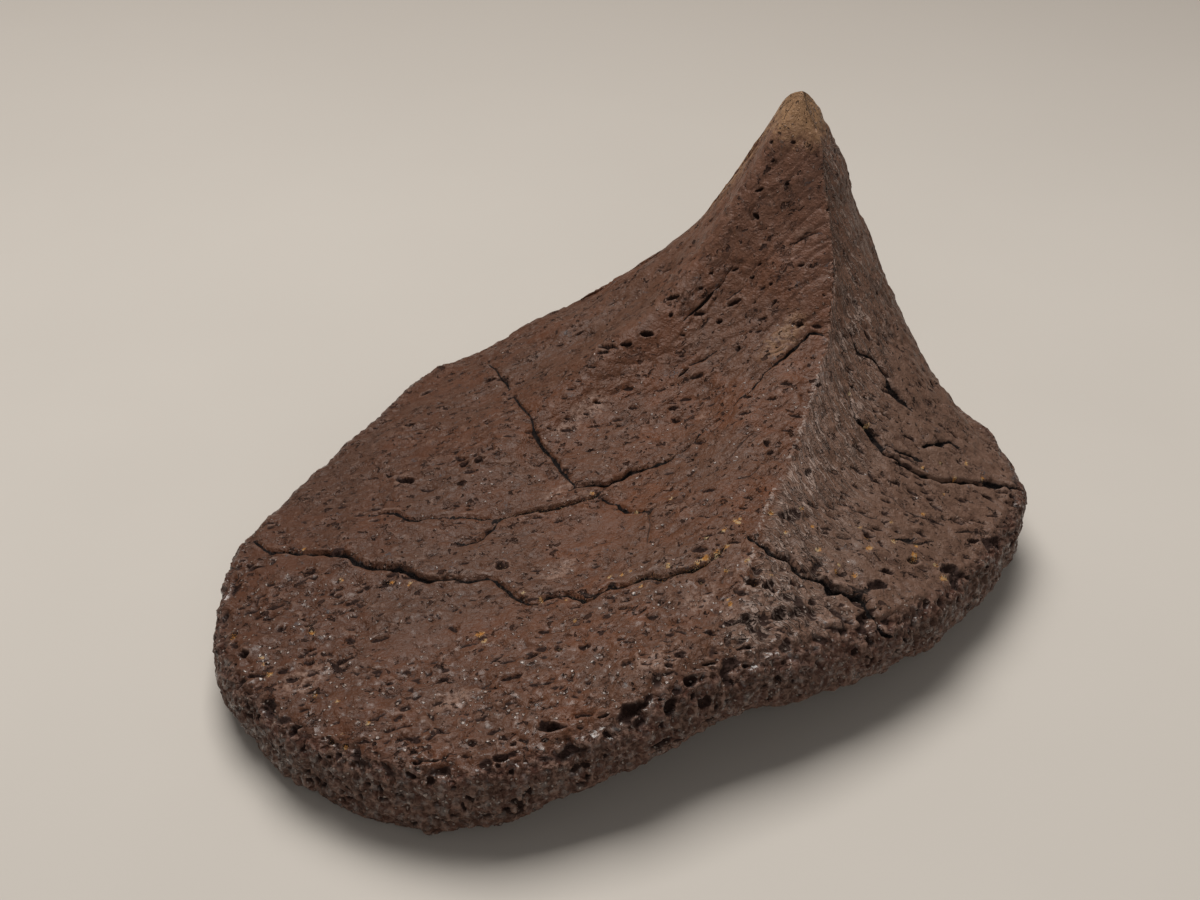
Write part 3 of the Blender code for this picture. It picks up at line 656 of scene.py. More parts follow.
class Relief:
    """The fine skin and all that is pressed into it."""

    def __init__(self, mesh):
        self.mesh = mesh
        self.points, self.normals = read_points(mesh)
        self.ring = stored(mesh, "ring")
        off_top = eased((self.ring - WALL_START) / EDGE_BLEND)
        self.under = eased((self.ring - WALL_END) / EDGE_BLEND)
        self.wall = off_top * (1 - self.under)
        self.top = 1 - off_top
        self.right = stored(mesh, "right")
        self.along = stored(mesh, "along")
        self.across = stored(mesh, "across")
        forward = eased((-self.points[:, 1] - 8) / 22)
        self.crumbly = eased((self.ring - 22) / 8) * forward * (1 - self.under)
        count = len(self.points)
        self.rise = np.zeros(count, np.float32)
        self.crack = np.tile(np.array([6, 6, 0], np.float32), (count, 1))
        self.ochre = np.zeros(count, np.float32)
        # Painted shade in pits, open cells and hollows, from 0 to 1.
        self.hollow_shade = np.zeros(count, np.float32)
        self.smooth = np.zeros(count, np.float32)
        self.worn = np.zeros(count, np.float32)
        self.tan = np.zeros(count, np.float32)
        self.keel = np.full(count, 9, np.float32)
        sizes = np.empty(len(mesh.polygons), np.float32)
        mesh.polygons.foreach_get("area", sizes)
        corners = np.empty(len(mesh.polygons), np.int32)
        mesh.polygons.foreach_get("loop_total", corners)
        used = np.empty(len(mesh.loops), np.int32)
        mesh.loops.foreach_get("vertex_index", used)
        self.area = np.bincount(used, np.repeat(sizes / corners, corners), count)
        self.tree = kdtree.KDTree(count)
        for index, point in enumerate(self.points.tolist()):
            self.tree.insert(point, index)
        self.tree.balance()

    def near(self, centre, reach):
        return np.array([index for _, index, _ in self.tree.find_range(centre, reach)], int)

    def beside(self, route, reach):
        """For points near a route: their indices, signed distance and place along it."""
        low, high = route.min(0) - reach, route.max(0) + reach
        near = np.nonzero(((self.points > low) & (self.points < high)).all(1))[0]
        points, normals = self.points[near], self.normals[near]
        best = np.full(len(near), 1e9, np.float32)
        sign = np.ones(len(near), np.float32)
        place = np.zeros(len(near), np.float32)
        for number, (start, end) in enumerate(zip(route[:-1], route[1:])):
            step = (end - start).astype(np.float32)
            t = np.clip((points - start) @ step / (step @ step), 0, 1)
            away = points - start - t[:, None] * step
            gap = np.linalg.norm(away, axis=1)
            closer = gap < best
            best[closer] = gap[closer]
            facing = (np.cross(normals[closer], step) * away[closer]).sum(1)
            sign[closer] = np.where(facing < 0, -1, 1)
            place[closer] = (number + t[closer]) / (len(route) - 1)
        kept = best < reach
        return near[kept], (best * sign)[kept], place[kept]

    def cut_crack(self, half_width, depth, filling, route, seed):
        chance = random.Random(seed)
        points, _ = even_points(route, max(6, int(len(route) * 2.2)))
        jitter = np.array([[chance.uniform(-1, 1) for _ in range(3)] for _ in points])
        jitter[0] = jitter[-1] = 0
        points = points + jitter * (0.12 + 0.25 * half_width)
        near, offset, place = self.beside(points, 3.2)
        wander = noise_layer(np.column_stack([self.points[near] / 1.6]), 1.0, seed)
        taper = 0.35 + 0.65 * np.sin(math.pi * np.clip(place, 0.02, 0.98)) ** 0.5
        width = half_width * taper * (1 + 0.55 * wander)
        ratio = offset / width
        sunk = depth * taper * np.clip(1 - np.abs(ratio) / 1.15, 0, 1) ** 0.55
        self.rise[near] -= np.maximum(0, sunk - np.maximum(0, -self.rise[near]))
        closer = np.abs(ratio) < self.crack[near, 1]
        here = near[closer]
        self.crack[here, 0] = np.clip(ratio[closer], -6, 6)
        self.crack[here, 1] = np.clip(np.abs(ratio[closer]), 0, 6)
        self.crack[here, 2] = 0.45 + 0.55 * eased((half_width - 0.12) / 0.16)
        fill = filling * np.clip(1 - np.abs(ratio) / 2.2, 0, 1)
        self.ochre[near] = np.maximum(self.ochre[near], fill)

    def sink_pit(self, centre, normal, line, half_length, half_width, depth, filling=0, rim=None):
        reach = 1.7 * max(half_length, half_width) + 0.2
        around = self.near(centre, reach)
        facing = self.normals[around] @ normal
        near = around[facing > 0.25]
        if not len(near) or np.mean(facing > (0.25 if rim is None else 0.75)) < 0.8:
            return
        away = self.points[near] - centre
        along = away @ line / half_length
        across = away @ np.cross(normal, line) / half_width
        height = away @ normal / max(half_length, half_width)
        ratio = np.sqrt(along**2 + across**2 + height**2)
        if half_width > 0.35:
            ratio *= 1 + noise_layer(self.points[near] / 1.1, 0.45, 3.7)
        shade = SET_PIT_SHADE if rim is None else SEEDED_PIT_SHADE
        rim = SET_PIT_RIM if rim is None else rim
        bowl = depth * np.clip(1 - ratio**2, 0, 1) ** 0.6
        level = np.clip(self.normals[near] @ normal * 3 - 2, 0, 1)
        lip_tone_and_bounce = level * rim * depth * np.exp(-(((ratio - 1.2) / 0.22) ** 2))
        self.rise[near] += lip_tone_and_bounce - bowl
        self.hollow_shade[near] = np.maximum(self.hollow_shade[near], np.clip(shade - ratio, 0, 1) ** 0.7)
        if filling:
            fill = filling * np.clip(1.3 - ratio, 0, 1)
            self.ochre[near] = np.maximum(self.ochre[near], fill)

    def grain_line(self, index):
        """The grain's direction at a point, from how the numbers along and across it change."""
        near = self.near(self.points[index], 1.2)
        near = near[self.normals[near] @ self.normals[index] > 0.6]
        away = self.points[near] - self.points[index]
        slope = np.linalg.lstsq(away, self.along[near] - self.along[index], rcond=None)[0]
        normal = self.normals[index]
        line = slope - normal * (slope @ normal)
        length = np.linalg.norm(line)
        return line / length if length > 1e-6 else np.cross(normal, (0.3, 0.5, 0.8))

    def scatter_pits(self, weights, seed, count, lengths, widths, share, rim=0.14):
        """Seeded pits along the grain: most of them small, and more where the weights are high."""
        chance = random.Random(seed)
        reached = np.cumsum(weights * self.area)
        for _ in range(count):
            index = int(np.searchsorted(reached, chance.random() * reached[-1]))
            size = chance.random() ** 2.2
            half_length = lengths[0] + (lengths[1] - lengths[0]) * size
            half_width = widths[0] + (widths[1] - widths[0]) * size * chance.uniform(0.4, 1)
            depth = half_width * share * chance.uniform(0.5, 1.2)
            line, normal = self.grain_line(index), self.normals[index]
            self.sink_pit(
                self.points[index], normal, line, half_length, half_width, depth, 0.0, rim
            )


# ---------------------------------------------------------------- pressing it all in
# How far out a pit's painted shade reaches, as a share of its half size, and how high its rim stands.
SET_PIT_SHADE = 1.45
SEEDED_PIT_SHADE = 1.28
SET_PIT_RIM = 0.18
# Rough places on the skin: picture point and reach.
FOOT_ZONE = (798, 606, 15.0)
# The warm brown place above the keel's crack: picture point, angle and half sizes.
UNDER_CRACK = (782, 338, 45, 5.0, 2.2)


def press_lumps(scute):
    """The broad lumps, as on the solid."""
    mesh = scute.data
    points, normals = read_points(mesh)
    rise = sum(noise_layer(points / size, height) for size, height in LUMPS)
    rise += stored(mesh, "wall") * noise_layer(points / WALL_LUMPS[0], WALL_LUMPS[1])
    rise *= np.clip((points[:, 2].max() - points[:, 2]) / 12, 0.15, 1)
    write_points(mesh, points + normals * rise[:, None])


def spread(relief, tree, x, y, angle, half_length, half_width):
    """Indices and weights of the points round a picture point, falling off to an oval's edge."""
    centre, normal, line = seen_line(tree, x, y, angle)
    if centre is None:
        raise ValueError(f"no bone is seen at {x}, {y}")
    near = relief.near(centre, 1.6 * max(half_length, half_width))
    away = relief.points[near] - centre
    ratio = np.hypot(away @ line / half_length, away @ np.cross(normal, line) / half_width)
    ragged = 0.35 * noise_layer(relief.points[near] / 2.1, 1.0, half_length)
    return near, 1 - eased((ratio + ragged - 0.55) / 0.6)


def press_grain(relief):
    """Low ridges along the grain on the top, a leathery unevenness, and crumbs near the rim."""
    points, top = relief.points, relief.top
    here = np.nonzero(top > 0.02)[0]
    grain = np.column_stack([relief.along, relief.across, 0 * relief.along])[here]
    rough = top[here] * (1 - 0.75 * relief.smooth[here])
    rough *= 0.2 + 0.8 * eased((56.5 - points[here, 2]) / 6)
    streaks = noise_layer(grain / (3.6, 1.1, 1), 0.15, 3.1)
    creases = np.abs(noise_layer(grain / (5.5, 1.7, 1), 1.0, 8.4))
    streaks -= 0.2 * np.clip(1 - creases / 0.10, 0, 1)
    patchy = eased(noise_layer(points[here] / 7.0, 1.0, 1.3) + 0.45)
    leather = noise_layer(points[here] / 1.15, 0.24, 5.2) * (0.35 + 0.65 * patchy)
    leather *= 1 + 0.5 * relief.right[here]
    relief.rise[here] += rough * (streaks + leather)
    relief.rise += noise_layer(points / 3.1, 0.14, 2.2)
    here = np.nonzero(relief.crumbly > 0.02)[0]
    crumbs = noise_layer(points[here] / 0.85, 0.26, 6.1) + noise_layer(points[here] / 1.9, 0.26, 7.3)
    relief.rise[here] += relief.crumbly[here] * crumbs * (1 - 0.7 * relief.smooth[here])


def press_foot(relief, tree):
    """The coarse, worn zone at the keel's foot: wavy ridges between deep hollows."""
    x, y, reach = FOOT_ZONE
    centre = seen_at(tree, x, y)[0]
    near = relief.near(centre, reach)
    gap = np.linalg.norm(relief.points[near] - centre, axis=1) / reach
    weight = (1 - eased((gap - 0.45) / 0.55)) * np.clip(relief.top[near] + 0.4, 0, 1)
    ridges = 1 - 3.0 * np.abs(noise_layer(relief.points[near] / 2.6, 1.0, 4.5))
    deep = np.clip(noise_layer(relief.points[near] / 1.9, 1.0, 9.7) - 0.10, 0, 1)
    relief.rise[near] += weight * (0.30 * ridges - 1.7 * deep)
    relief.hollow_shade[near] = np.maximum(relief.hollow_shade[near], weight * np.clip(3.2 * deep, 0, 1))
    relief.worn[near] = np.maximum(relief.worn[near], weight * eased((ridges - 0.45) / 0.4))


def press_cells(relief, weights, size, net, open_share, depth, seed):
    """A net of thin ridges round small cells, some of them open."""
    here = np.nonzero(weights > 0.03)[0]
    places = relief.points[here] / size + seed
    warp = [noise_layer(places * 0.9, 0.45, turn) for turn in (0.0, 17.0, 31.0)]
    places = places + np.column_stack(warp)
    rise = np.empty(len(here), np.float32)
    hollow_shade = np.empty(len(here), np.float32)
    for number, place in enumerate(places.tolist()):
        gaps, centres = noise.voronoi(Vector(place))
        edge = gaps[1] - gaps[0]
        ridge = max(0.0, 1 - edge / 0.30)
        chance = noise.cell(centres[0] * 3.7) * 0.5 + 0.5
        opened = 1.0 if chance < open_share else 0.0
        bowl = max(0.0, 1 - (gaps[0] / 0.52) ** 2) ** 0.6
        rise[number] = net * ridge - depth * bowl * (0.22 + opened)
        hollow_shade[number] = opened * min(1.0, bowl * 1.6)
    relief.rise[here] += weights[here] * rise
    relief.hollow_shade[here] = np.maximum(relief.hollow_shade[here], weights[here] * hollow_shade)


def press_rim(relief):
    """The rim's wall: cells all over it, and ragged hollows along its top edge."""
    points = relief.points
    front = eased(0.6 - relief.normals[:, 1])
    band = np.clip(1 - np.abs(relief.ring - 31.8) / 2.0, 0, 1) * (1 - relief.under) * front
    here = np.nonzero(band > 0)[0]
    ragged = np.clip(noise_layer(points[here] / 2.0, 1.0, 6.6) - 0.04, 0, 1)
    relief.rise[here] -= 1.7 * band[here] * ragged
    relief.hollow_shade[here] = np.maximum(relief.hollow_shade[here], np.clip(band[here] * ragged * 3, 0, 1))
    relief.rise[here] += band[here] * noise_layer(points[here] / 0.8, 0.32, 1.9)
    turned = 0.3 + 0.7 * eased(0.55 - relief.normals[:, 1])
    press_cells(relief, relief.wall * turned, 1.30, 0.26, 0.14, 0.50, 11.0)
    here = np.nonzero(relief.wall > 0.02)[0]
    grooves = noise_layer(points[here] / (1.1, 1.1, 3.0), 0.36, 14.2)
    relief.rise[here] += relief.wall[here] * turned[here] * grooves
    lower = np.clip(1 - np.abs(relief.ring - 37.2) / 1.6, 0, 1) * turned
    here = np.nonzero(lower > 0)[0]
    knobs = np.clip(noise_layer(points[here] / 1.5, 1.0, 12.3) - 0.18, 0, 1)
    relief.rise[here] += 1.3 * lower[here] * knobs


def press_underside(relief):
    here = np.nonzero(relief.under > 0.02)[0]
    weights = relief.under[here]
    relief.rise[here] += weights * noise_layer(relief.points[here] / 4.5, 0.35, 7.7)
    relief.rise[here] += weights * noise_layer(relief.points[here] / 1.5, 0.16, 2.9)


def sharpen_keel(relief, rings):
    """A thin worn crest along the keel."""
    route = rings[2 : TOP_RINGS - 1, 0]
    near, offset, place = relief.beside(route, 16.0)
    uneven = noise_layer(relief.points[near] / 1.4, 0.16, 3.3)
    crest = np.exp(-((offset / 0.5) ** 2)) * (0.24 + uneven) - 0.1 * np.exp(-((offset / 1.9) ** 2))
    relief.rise[near] += crest * np.clip(place * 6, 0, 1)
    relief.keel = np.full(len(relief.points), 16, np.float32)
    relief.keel[near] = np.abs(offset)


def press_relief(scute, rings, shoulder_column):
    """Everything finer than the broad lumps."""
    tree = BVHTree.FromPolygons(
        read_points(scute.data)[0].tolist(),
        [tuple(face.vertices) for face in scute.data.polygons],
    )
    apply_modifier(scute, "SUBSURF", levels=SECOND_LEVELS, render_levels=SECOND_LEVELS)
    relief = Relief(scute.data)
    for x, y, half_length, half_width in SMOOTH_PATCHES:
        near, weight = spread(relief, tree, x, y, 12, half_length, half_width)
        relief.smooth[near] = np.maximum(relief.smooth[near], weight)
    for x, y, half_length, half_width in WORN_BLOTCHES:
        near, weight = spread(relief, tree, x, y, 25, half_length, half_width)
        relief.worn[near] = np.maximum(relief.worn[near], weight)
    press_grain(relief)
    press_rim(relief)
    press_underside(relief)
    press_foot(relief, tree)
    sharpen_keel(relief, rings)
    open_top = relief.top * (1 - 0.88 * relief.smooth) * (relief.points[:, 2] < 52)
    open_top *= 1 - 0.7 * eased((relief.points[:, 2] - 28) / 14)
    open_top *= 0.25 + eased(noise_layer(relief.points / 6.0, 1.2, 4.4) + 0.5)
    left = open_top * (1 - relief.right)
    right = open_top * relief.right * (0.3 + 0.7 * eased((relief.keel - 3) / 7))
    relief.scatter_pits(left, 21, 560, (0.36, 1.3), (0.22, 0.46), 1.9)
    relief.scatter_pits(right, 22, 460, (0.36, 1.3), (0.18, 0.38), 2.2)
    relief.scatter_pits(relief.crumbly * open_top, 25, 260, (0.3, 0.85), (0.22, 0.5), 1.6)
    relief.scatter_pits(relief.wall, 23, 150, (0.35, 0.9), (0.3, 0.65), 1.4)
    relief.scatter_pits(relief.under, 24, 380, (0.4, 1.4), (0.3, 0.9), 1.2)
    for x, y, half_length, half_width, angle, depth, filling in PITS:
        centre, normal, line = seen_line(tree, x, y, angle)
        if centre is not None:
            relief.sink_pit(centre, normal, line, half_length, half_width, depth, filling)
    for x, y, half_width in CRUMBS:
        centre, normal, line = seen_line(tree, x, y, 30)
        if centre is not None:
            relief.sink_pit(centre, normal, line, 1.3 * half_width, half_width, 0.12, 1.4, 0.4)
    for number, (half_width, depth, filling, route) in enumerate(CRACKS.values()):
        seen = [seen_at(tree, x, y)[0] for x, y in route]
        seen = np.array([point for point in seen if point is not None])
        relief.cut_crack(half_width, depth, filling, seen, 40 + number)
    near, weight = spread(relief, tree, *UNDER_CRACK)
    relief.tan[near] = 0.5 * weight
    near, offset, place = relief.beside(rings[1:18, shoulder_column], 7.0)
    strip = np.exp(-((offset / 3.6) ** 2)) * (1 - eased((place - 0.6) / 0.35))
    relief.tan[near] = np.maximum(relief.tan[near], strip)
    relief.rise[near] *= 1 - 0.7 * np.exp(-((offset / 1.0) ** 2))
    soft = blurred(scute.data, relief.rise.astype(float), 3)
    relief.rise = np.where(relief.top > 0.5, np.minimum(relief.rise, soft + 0.14), relief.rise)
    finish_relief(scute, relief)


def blurred(mesh, values, times):
    """The values averaged with their neighbours' along the mesh's edges."""
    ends = np.empty(len(mesh.edges) * 2, np.int32)
    mesh.edges.foreach_get("vertices", ends)
    first, second = ends[::2], ends[1::2]
    count = len(mesh.vertices)
    beside = np.bincount(first, minlength=count) + np.bincount(second, minlength=count)
    for _ in range(times):
        total = np.bincount(first, values[second], count) + np.bincount(second, values[first], count)
        values = 0.5 * values + 0.5 * total / beside
    return values


def finish_relief(scute, relief):
    mesh = scute.data
    tall = np.maximum(relief.rise - 0.4, 0)
    relief.rise -= 0.6 * tall
    shallow = np.maximum(relief.rise, -0.5).astype(float)
    cavity = shallow - blurred(mesh, shallow, 14)
    points = relief.points + relief.normals * relief.rise[:, None]
    points[:, 2] = np.maximum(points[:, 2], 0)
    write_points(mesh, points)
    grain = np.column_stack([relief.along, relief.across, 0 * relief.along])
    kept = {
        "crack": relief.crack, "grain": grain, "ochre": relief.ochre, "hollow_shade": relief.hollow_shade,
        "smooth": relief.smooth, "worn": relief.worn, "cavity": cavity, "keel": relief.keel,
        "wall": relief.wall, "underside": relief.under, "crumbly": relief.crumbly,
        "tan": relief.tan,
    }
    for name, values in kept.items():
        store(mesh, name, values)
    for name in ("along", "across"):
        mesh.attributes.remove(mesh.attributes[name])
    apply_modifier(
        scute, "DECIMATE", ratio=TRIANGLES / (2 * len(mesh.polygons)), use_collapse_triangulate=True
    )
    deselect()
    scute.select_set(True)
    bpy.context.view_layer.objects.active = scute
    bpy.ops.object.shade_smooth()


# ---------------------------------------------------------------- finishes
class Value:
    """A socket of a finish, on which ordinary operators add maths nodes."""

    def __init__(self, finish, socket):
        self.finish, self.socket = finish, socket

    def maths(self, operation, first, second=0.0, third=None):
        values = {0: first, 1: second}
        if third is not None:
            values[2] = third
        return self.finish.node("ShaderNodeMath", {"operation": operation}, values)

    def __add__(self, other):
        return self.maths("ADD", self, other)

    def __sub__(self, other):
        return self.maths("SUBTRACT", self, other)

    def __mul__(self, other):
        return self.maths("MULTIPLY", self, other)

    def __truediv__(self, other):
        return self.maths("DIVIDE", self, other)

    def __rsub__(self, other):
        return self.maths("SUBTRACT", other, self)

    def __rtruediv__(self, other):
        return self.maths("DIVIDE", other, self)

    def __pow__(self, other):
        return self.maths("POWER", self, other)

    __radd__, __rmul__ = __add__, __mul__

    def size(self):
        return self.maths("ABSOLUTE", self)

    def least(self, other):
        return self.maths("MINIMUM", self, other)

    def most(self, other):
        return self.maths("MAXIMUM", self, other)

    def step(self, low, high):
        """0 below low and 1 above high, with a smooth step between them."""
        values = {"Value": self, "From Min": low, "From Max": high}
        return self.finish.node("ShaderNodeMapRange", {"interpolation_type": "SMOOTHSTEP"}, values)


class Finish:
    """A material made in code."""

    def __init__(self, name):
        self.material = bpy.data.materials.new(name)
        self.material.use_nodes = True
        self.tree = self.material.node_tree
        self.surface = self.tree.nodes["Principled BSDF"]

    def connect(self, value, socket):
        if isinstance(value, Value):
            self.tree.links.new(value.socket, socket)
        else:
            socket.default_value = value

    def node(self, kind, settings=None, values=None, output=0):
        made = self.tree.nodes.new(kind)
        for name, value in (settings or {}).items():
            setattr(made, name, value)
        for name, value in (values or {}).items():
            self.connect(value, made.inputs[name])
        return Value(self, made.outputs[output])

    def attribute(self, name, output="Fac"):
        return self.node("ShaderNodeAttribute", {"attribute_name": name}, output=output)

    def vector(self, operation, first, second, output=0):
        key = {"SCALE": "Scale"}.get(operation, 1)
        return self.node("ShaderNodeVectorMath", {"operation": operation}, {0: first, key: second}, output)

    def parts(self, vector):
        made = self.node("ShaderNodeSeparateXYZ", None, {0: vector})
        return [Value(self, output) for output in made.socket.node.outputs]

    def mix(self, share, first, second):
        made = self.tree.nodes.new("ShaderNodeMix")
        made.data_type = "RGBA"
        for value, socket in ((share, made.inputs[0]), (first, made.inputs[6]), (second, made.inputs[7])):
            self.connect(value, socket)
        return Value(self, made.outputs[2])

    def noise(self, place, scale, detail=3.0, roughness=0.55, distortion=0.0):
        values = {
            "Vector": place, "Scale": scale, "Detail": detail, "Roughness": roughness,
            "Distortion": distortion,
        }
        return self.node("ShaderNodeTexNoise", None, values)

    def cells(self, place, scale, output="Distance", feature="F1"):
        values = {"Vector": place, "Scale": scale}
        return self.node("ShaderNodeTexVoronoi", {"feature": feature}, values, output)

    def bump(self, height, distance, strength=1.0):
        values = {"Height": height, "Distance": distance, "Strength": strength}
        return self.node("ShaderNodeBump", None, values)


# Near black brown: painted shade in pits, hollows, fine grooves and sunken places.
RECESS_SHADE_BROWN = (0.020, 0.009, 0.007, 1)
DARK_BROWN = (0.050, 0.0215, 0.0135, 1)
BROWN = (0.101, 0.0400, 0.0195, 1)
RED_BROWN = (0.128, 0.0480, 0.0225, 1)
LILAC_BROWN = (0.104, 0.0500, 0.0300, 1)
RIGHT_TONE_AND_LIGHT_BROWN = (0.146, 0.0850, 0.0600, 1)
SPIKE_PAINTED_LIGHT_BROWN = (0.160, 0.0770, 0.0500, 1)
WALL_BROWN = (0.078, 0.0320, 0.0215, 1)
WALL_NET = (0.215, 0.130, 0.098, 1)
# Pale lilac: the wear of worn blotches, and painted sheen and highlights on grain dashes, glints and raised
# crests.
WORN_AND_SHEEN_LILAC = (0.265, 0.165, 0.125, 1)
CREST_PINK = (0.230, 0.125, 0.088, 1)
CREST_PALE = (0.350, 0.275, 0.240, 1)
FIBRE_PALE = (0.330, 0.240, 0.200, 1)
GLINT_PALE = (0.480, 0.390, 0.340, 1)
TIP_TAN = (0.345, 0.200, 0.108, 1)
OCHRE = (0.420, 0.185, 0.045, 1)
CREAM = (0.450, 0.330, 0.190, 1)
CRACK_SHADE_BLACK = (0.006, 0.004, 0.004, 1)
SLATE = (0.050, 0.056, 0.066, 1)


def sway_colour(finish, place):
    """A wandering vector round zero."""
    values = {"Vector": place, "Scale": 0.8, "Detail": 2.0}
    wander = finish.node("ShaderNodeTexNoise", None, values, "Color")
    return finish.vector("SUBTRACT", wander, (0.5, 0.5, 0.5))


def fossil_bone():
    finish = Finish("fossil_bone")
    place = finish.node("ShaderNodeTexCoord", output="Object")
    place = finish.vector("SCALE", place, 1 / MM)
    grain = finish.attribute("grain", "Vector")
    wall = finish.attribute("wall")
    under = finish.attribute("underside")
    ring = finish.attribute("ring")
    crumbly = finish.attribute("crumbly")
    right = finish.attribute("right")
    smooth = finish.attribute("smooth")
    worn = finish.attribute("worn")
    cavity = finish.attribute("cavity")
    hollow_shade = finish.attribute("hollow_shade")
    ochre = finish.attribute("ochre")
    keel = finish.attribute("keel")
    crack_side, crack_gap, crack_share = finish.parts(finish.attribute("crack", "Vector"))
    sideways, _, height = finish.parts(place)
    top = (1 - wall - under).most(0.0)
    rough_top = top * (1 - 0.7 * smooth)

    broad = finish.noise(place, 0.055, 2.0)
    middling = finish.noise(place, 0.24, 4.0, 0.6)
    patches = finish.noise(place, 0.42, 3.0, 0.6)
    fine = finish.noise(place, 1.2, 2.0, 0.6)
    dust = finish.noise(place, 2.8, 1.0, 0.5)
    sheen = finish.noise(place, 0.9, 3.0, 0.6)
    wander = sway_colour(finish, place)
    swayed = finish.vector("ADD", grain, finish.vector("SCALE", wander, 2.4))
    streaks = finish.noise(finish.vector("MULTIPLY", swayed, (0.34, 1.2, 1.0)), 1.0, 4.0, 0.6)
    dashes = finish.noise(finish.vector("MULTIPLY", swayed, (0.55, 1.7, 1.0)), 1.0, 2.0, 0.5)
    pricks = 0.0
    for along, across, size, share in ((0.40, 0.95, 0.30, 0.20), (0.75, 1.5, 0.32, 0.20)):
        prick_place = finish.vector("MULTIPLY", swayed, (along, across, 1.0))
        gap = finish.cells(prick_place, 1.0)
        chance = finish.parts(finish.cells(prick_place, 1.0, "Color"))[0]
        chance = chance - 0.5 * (patches - 0.5)
        pricks = (1 - gap.step(0.65 * size, size)) * (1 - chance.step(share - 0.04, share)) + pricks
    pricks = pricks.least(1.0) * (top + 0.2).least(1.0) * (1 - 0.7 * smooth)
    glint_gap = finish.cells(finish.vector("ADD", place, wander), 1.35)
    glint_chance = finish.parts(finish.cells(finish.vector("ADD", place, wander), 1.35, "Color"))[1]
    glint_share = 0.84 - 0.28 * crumbly - 0.06 * wall - 0.35 * (patches - 0.5)
    glint = (1 - glint_gap.step(0.14, 0.32)) * (glint_chance - glint_share).step(0.0, 0.04)
    glint = glint * (1 - 0.6 * smooth) * (1 - under)
    fibre_place = finish.vector("ADD", grain, finish.vector("SCALE", wander, 0.7))
    fibre_place = finish.vector("MULTIPLY", fibre_place, (0.20, 1.9, 0.4))
    fibres = 1 - (finish.noise(fibre_place, 1.0, 1.0, 0.5) - 0.5).size().step(0.01, 0.07)
    fibres = fibres * right * (1 - keel.step(5.0, 15.0)) * top * sheen.step(0.36, 0.5)
    cell_place = finish.vector("ADD", place, finish.vector("SCALE", wander, 1.4))
    net = finish.cells(cell_place, 0.80, feature="DISTANCE_TO_EDGE")
    on_net = (wall + 0.7 * under).least(1.0)
    cell = net.step(0.05, 0.34) * on_net

    colour = finish.mix(middling.step(0.38, 0.62), BROWN, RED_BROWN)
    colour = finish.mix(broad.step(0.42, 0.62) * 0.75, colour, LILAC_BROWN)
    # The right face's own greyer tone, made lighter as painted light where the lamp leaves its steep faces too
    # dark.
    colour = finish.mix(right * 0.85, colour, RIGHT_TONE_AND_LIGHT_BROWN)
    # Painted light: the spike lighter higher up, where the lamp leaves its steep faces too dark.
    colour = finish.mix(height.step(20.0, 46.0) * (0.85 - 0.55 * right), colour, SPIKE_PAINTED_LIGHT_BROWN)
    colour = finish.mix(smooth * 0.35, colour, RED_BROWN)
    # Painted shade: the wide left side darker, where it slopes away from the light.
    colour = finish.mix((1 - sideways.step(-52.0, 14.0)) * 0.48, colour, DARK_BROWN)
    colour = finish.mix(patches.step(0.5, 0.72) * top * 0.42, colour, DARK_BROWN)
    streak_dark = (1 - streaks.step(0.32, 0.46)) * rough_top
    colour = finish.mix(streak_dark * 0.46, colour, DARK_BROWN)
    # Painted sheen: pale dashes along the grain, where light glances off its ridges.
    sheen_dashes = dashes.step(0.54, 0.70) * patches.step(0.34, 0.56) * rough_top
    colour = finish.mix(sheen_dashes * 0.36, colour, WORN_AND_SHEEN_LILAC)
    colour = finish.mix((1 - fine.step(0.28, 0.45)) * 0.3, colour, DARK_BROWN)
    # Painted shade in fine grooves along the grain.
    crevice = (1 - (streaks - 0.44).size().step(0.0, 0.016)) * rough_top * patches.step(0.5, 0.6)
    colour = finish.mix(crevice * 0.8, colour, RECESS_SHADE_BROWN)
    colour = finish.mix(worn * fine.step(0.40, 0.60) * 0.72, colour, WORN_AND_SHEEN_LILAC)
    slate = finish.noise(place, 0.45, 2.0, 0.5).step(0.66, 0.74) * dust.step(0.5, 0.6)
    colour = finish.mix(slate * 0.6, colour, SLATE)
    wall_colour = finish.mix(middling.step(0.4, 0.6), WALL_BROWN, DARK_BROWN)
    wall_colour = finish.mix((1 - cell) * fine.step(0.40, 0.62) * 0.7, wall_colour, WALL_NET)
    # The wall's lower lip paler: its own lighter colour, and painted bounce light from the table.
    lip_tone_and_bounce = ring.step(35.0, 37.2) * fine.step(0.3, 0.6)
    wall_colour = finish.mix(lip_tone_and_bounce * 0.55, wall_colour, WALL_NET)
    colour = finish.mix(wall * 0.92, colour, wall_colour)
    colour = finish.mix(under * 0.6, colour, wall_colour)
    # The keel's crest paler in broken segments: worn bone, and a painted highlight along the edge.
    crest = (keel + 1.3 * (fine - 0.5) + 0.9 * (dust - 0.5)).step(0.05, 0.45)
    crest = (1 - crest) * sheen.step(0.40, 0.50)
    crest = crest * (1 - wall)
    crest_colour = finish.mix(height.step(26.0, 31.0), CREST_PALE, CREST_PINK)
    colour = finish.mix(crest * 0.8, colour, crest_colour)
    tip = (height + 6.0 * (fine - 0.5)).step(50.0, 55.0)
    colour = finish.mix(tip * 0.9, colour, TIP_TAN)
    tan = finish.attribute("tan") * fine.step(0.36, 0.56)
    colour = finish.mix(tan * 0.8, colour, TIP_TAN)
    # Raised crests paler, partly wear and partly painted highlight; sunken places darker with painted shade.
    colour = finish.mix(cavity.step(0.04, 0.32) * 0.5, colour, WORN_AND_SHEEN_LILAC)
    colour = finish.mix((1 - cavity.step(-0.34, -0.03)) * 0.85, colour, RECESS_SHADE_BROWN)
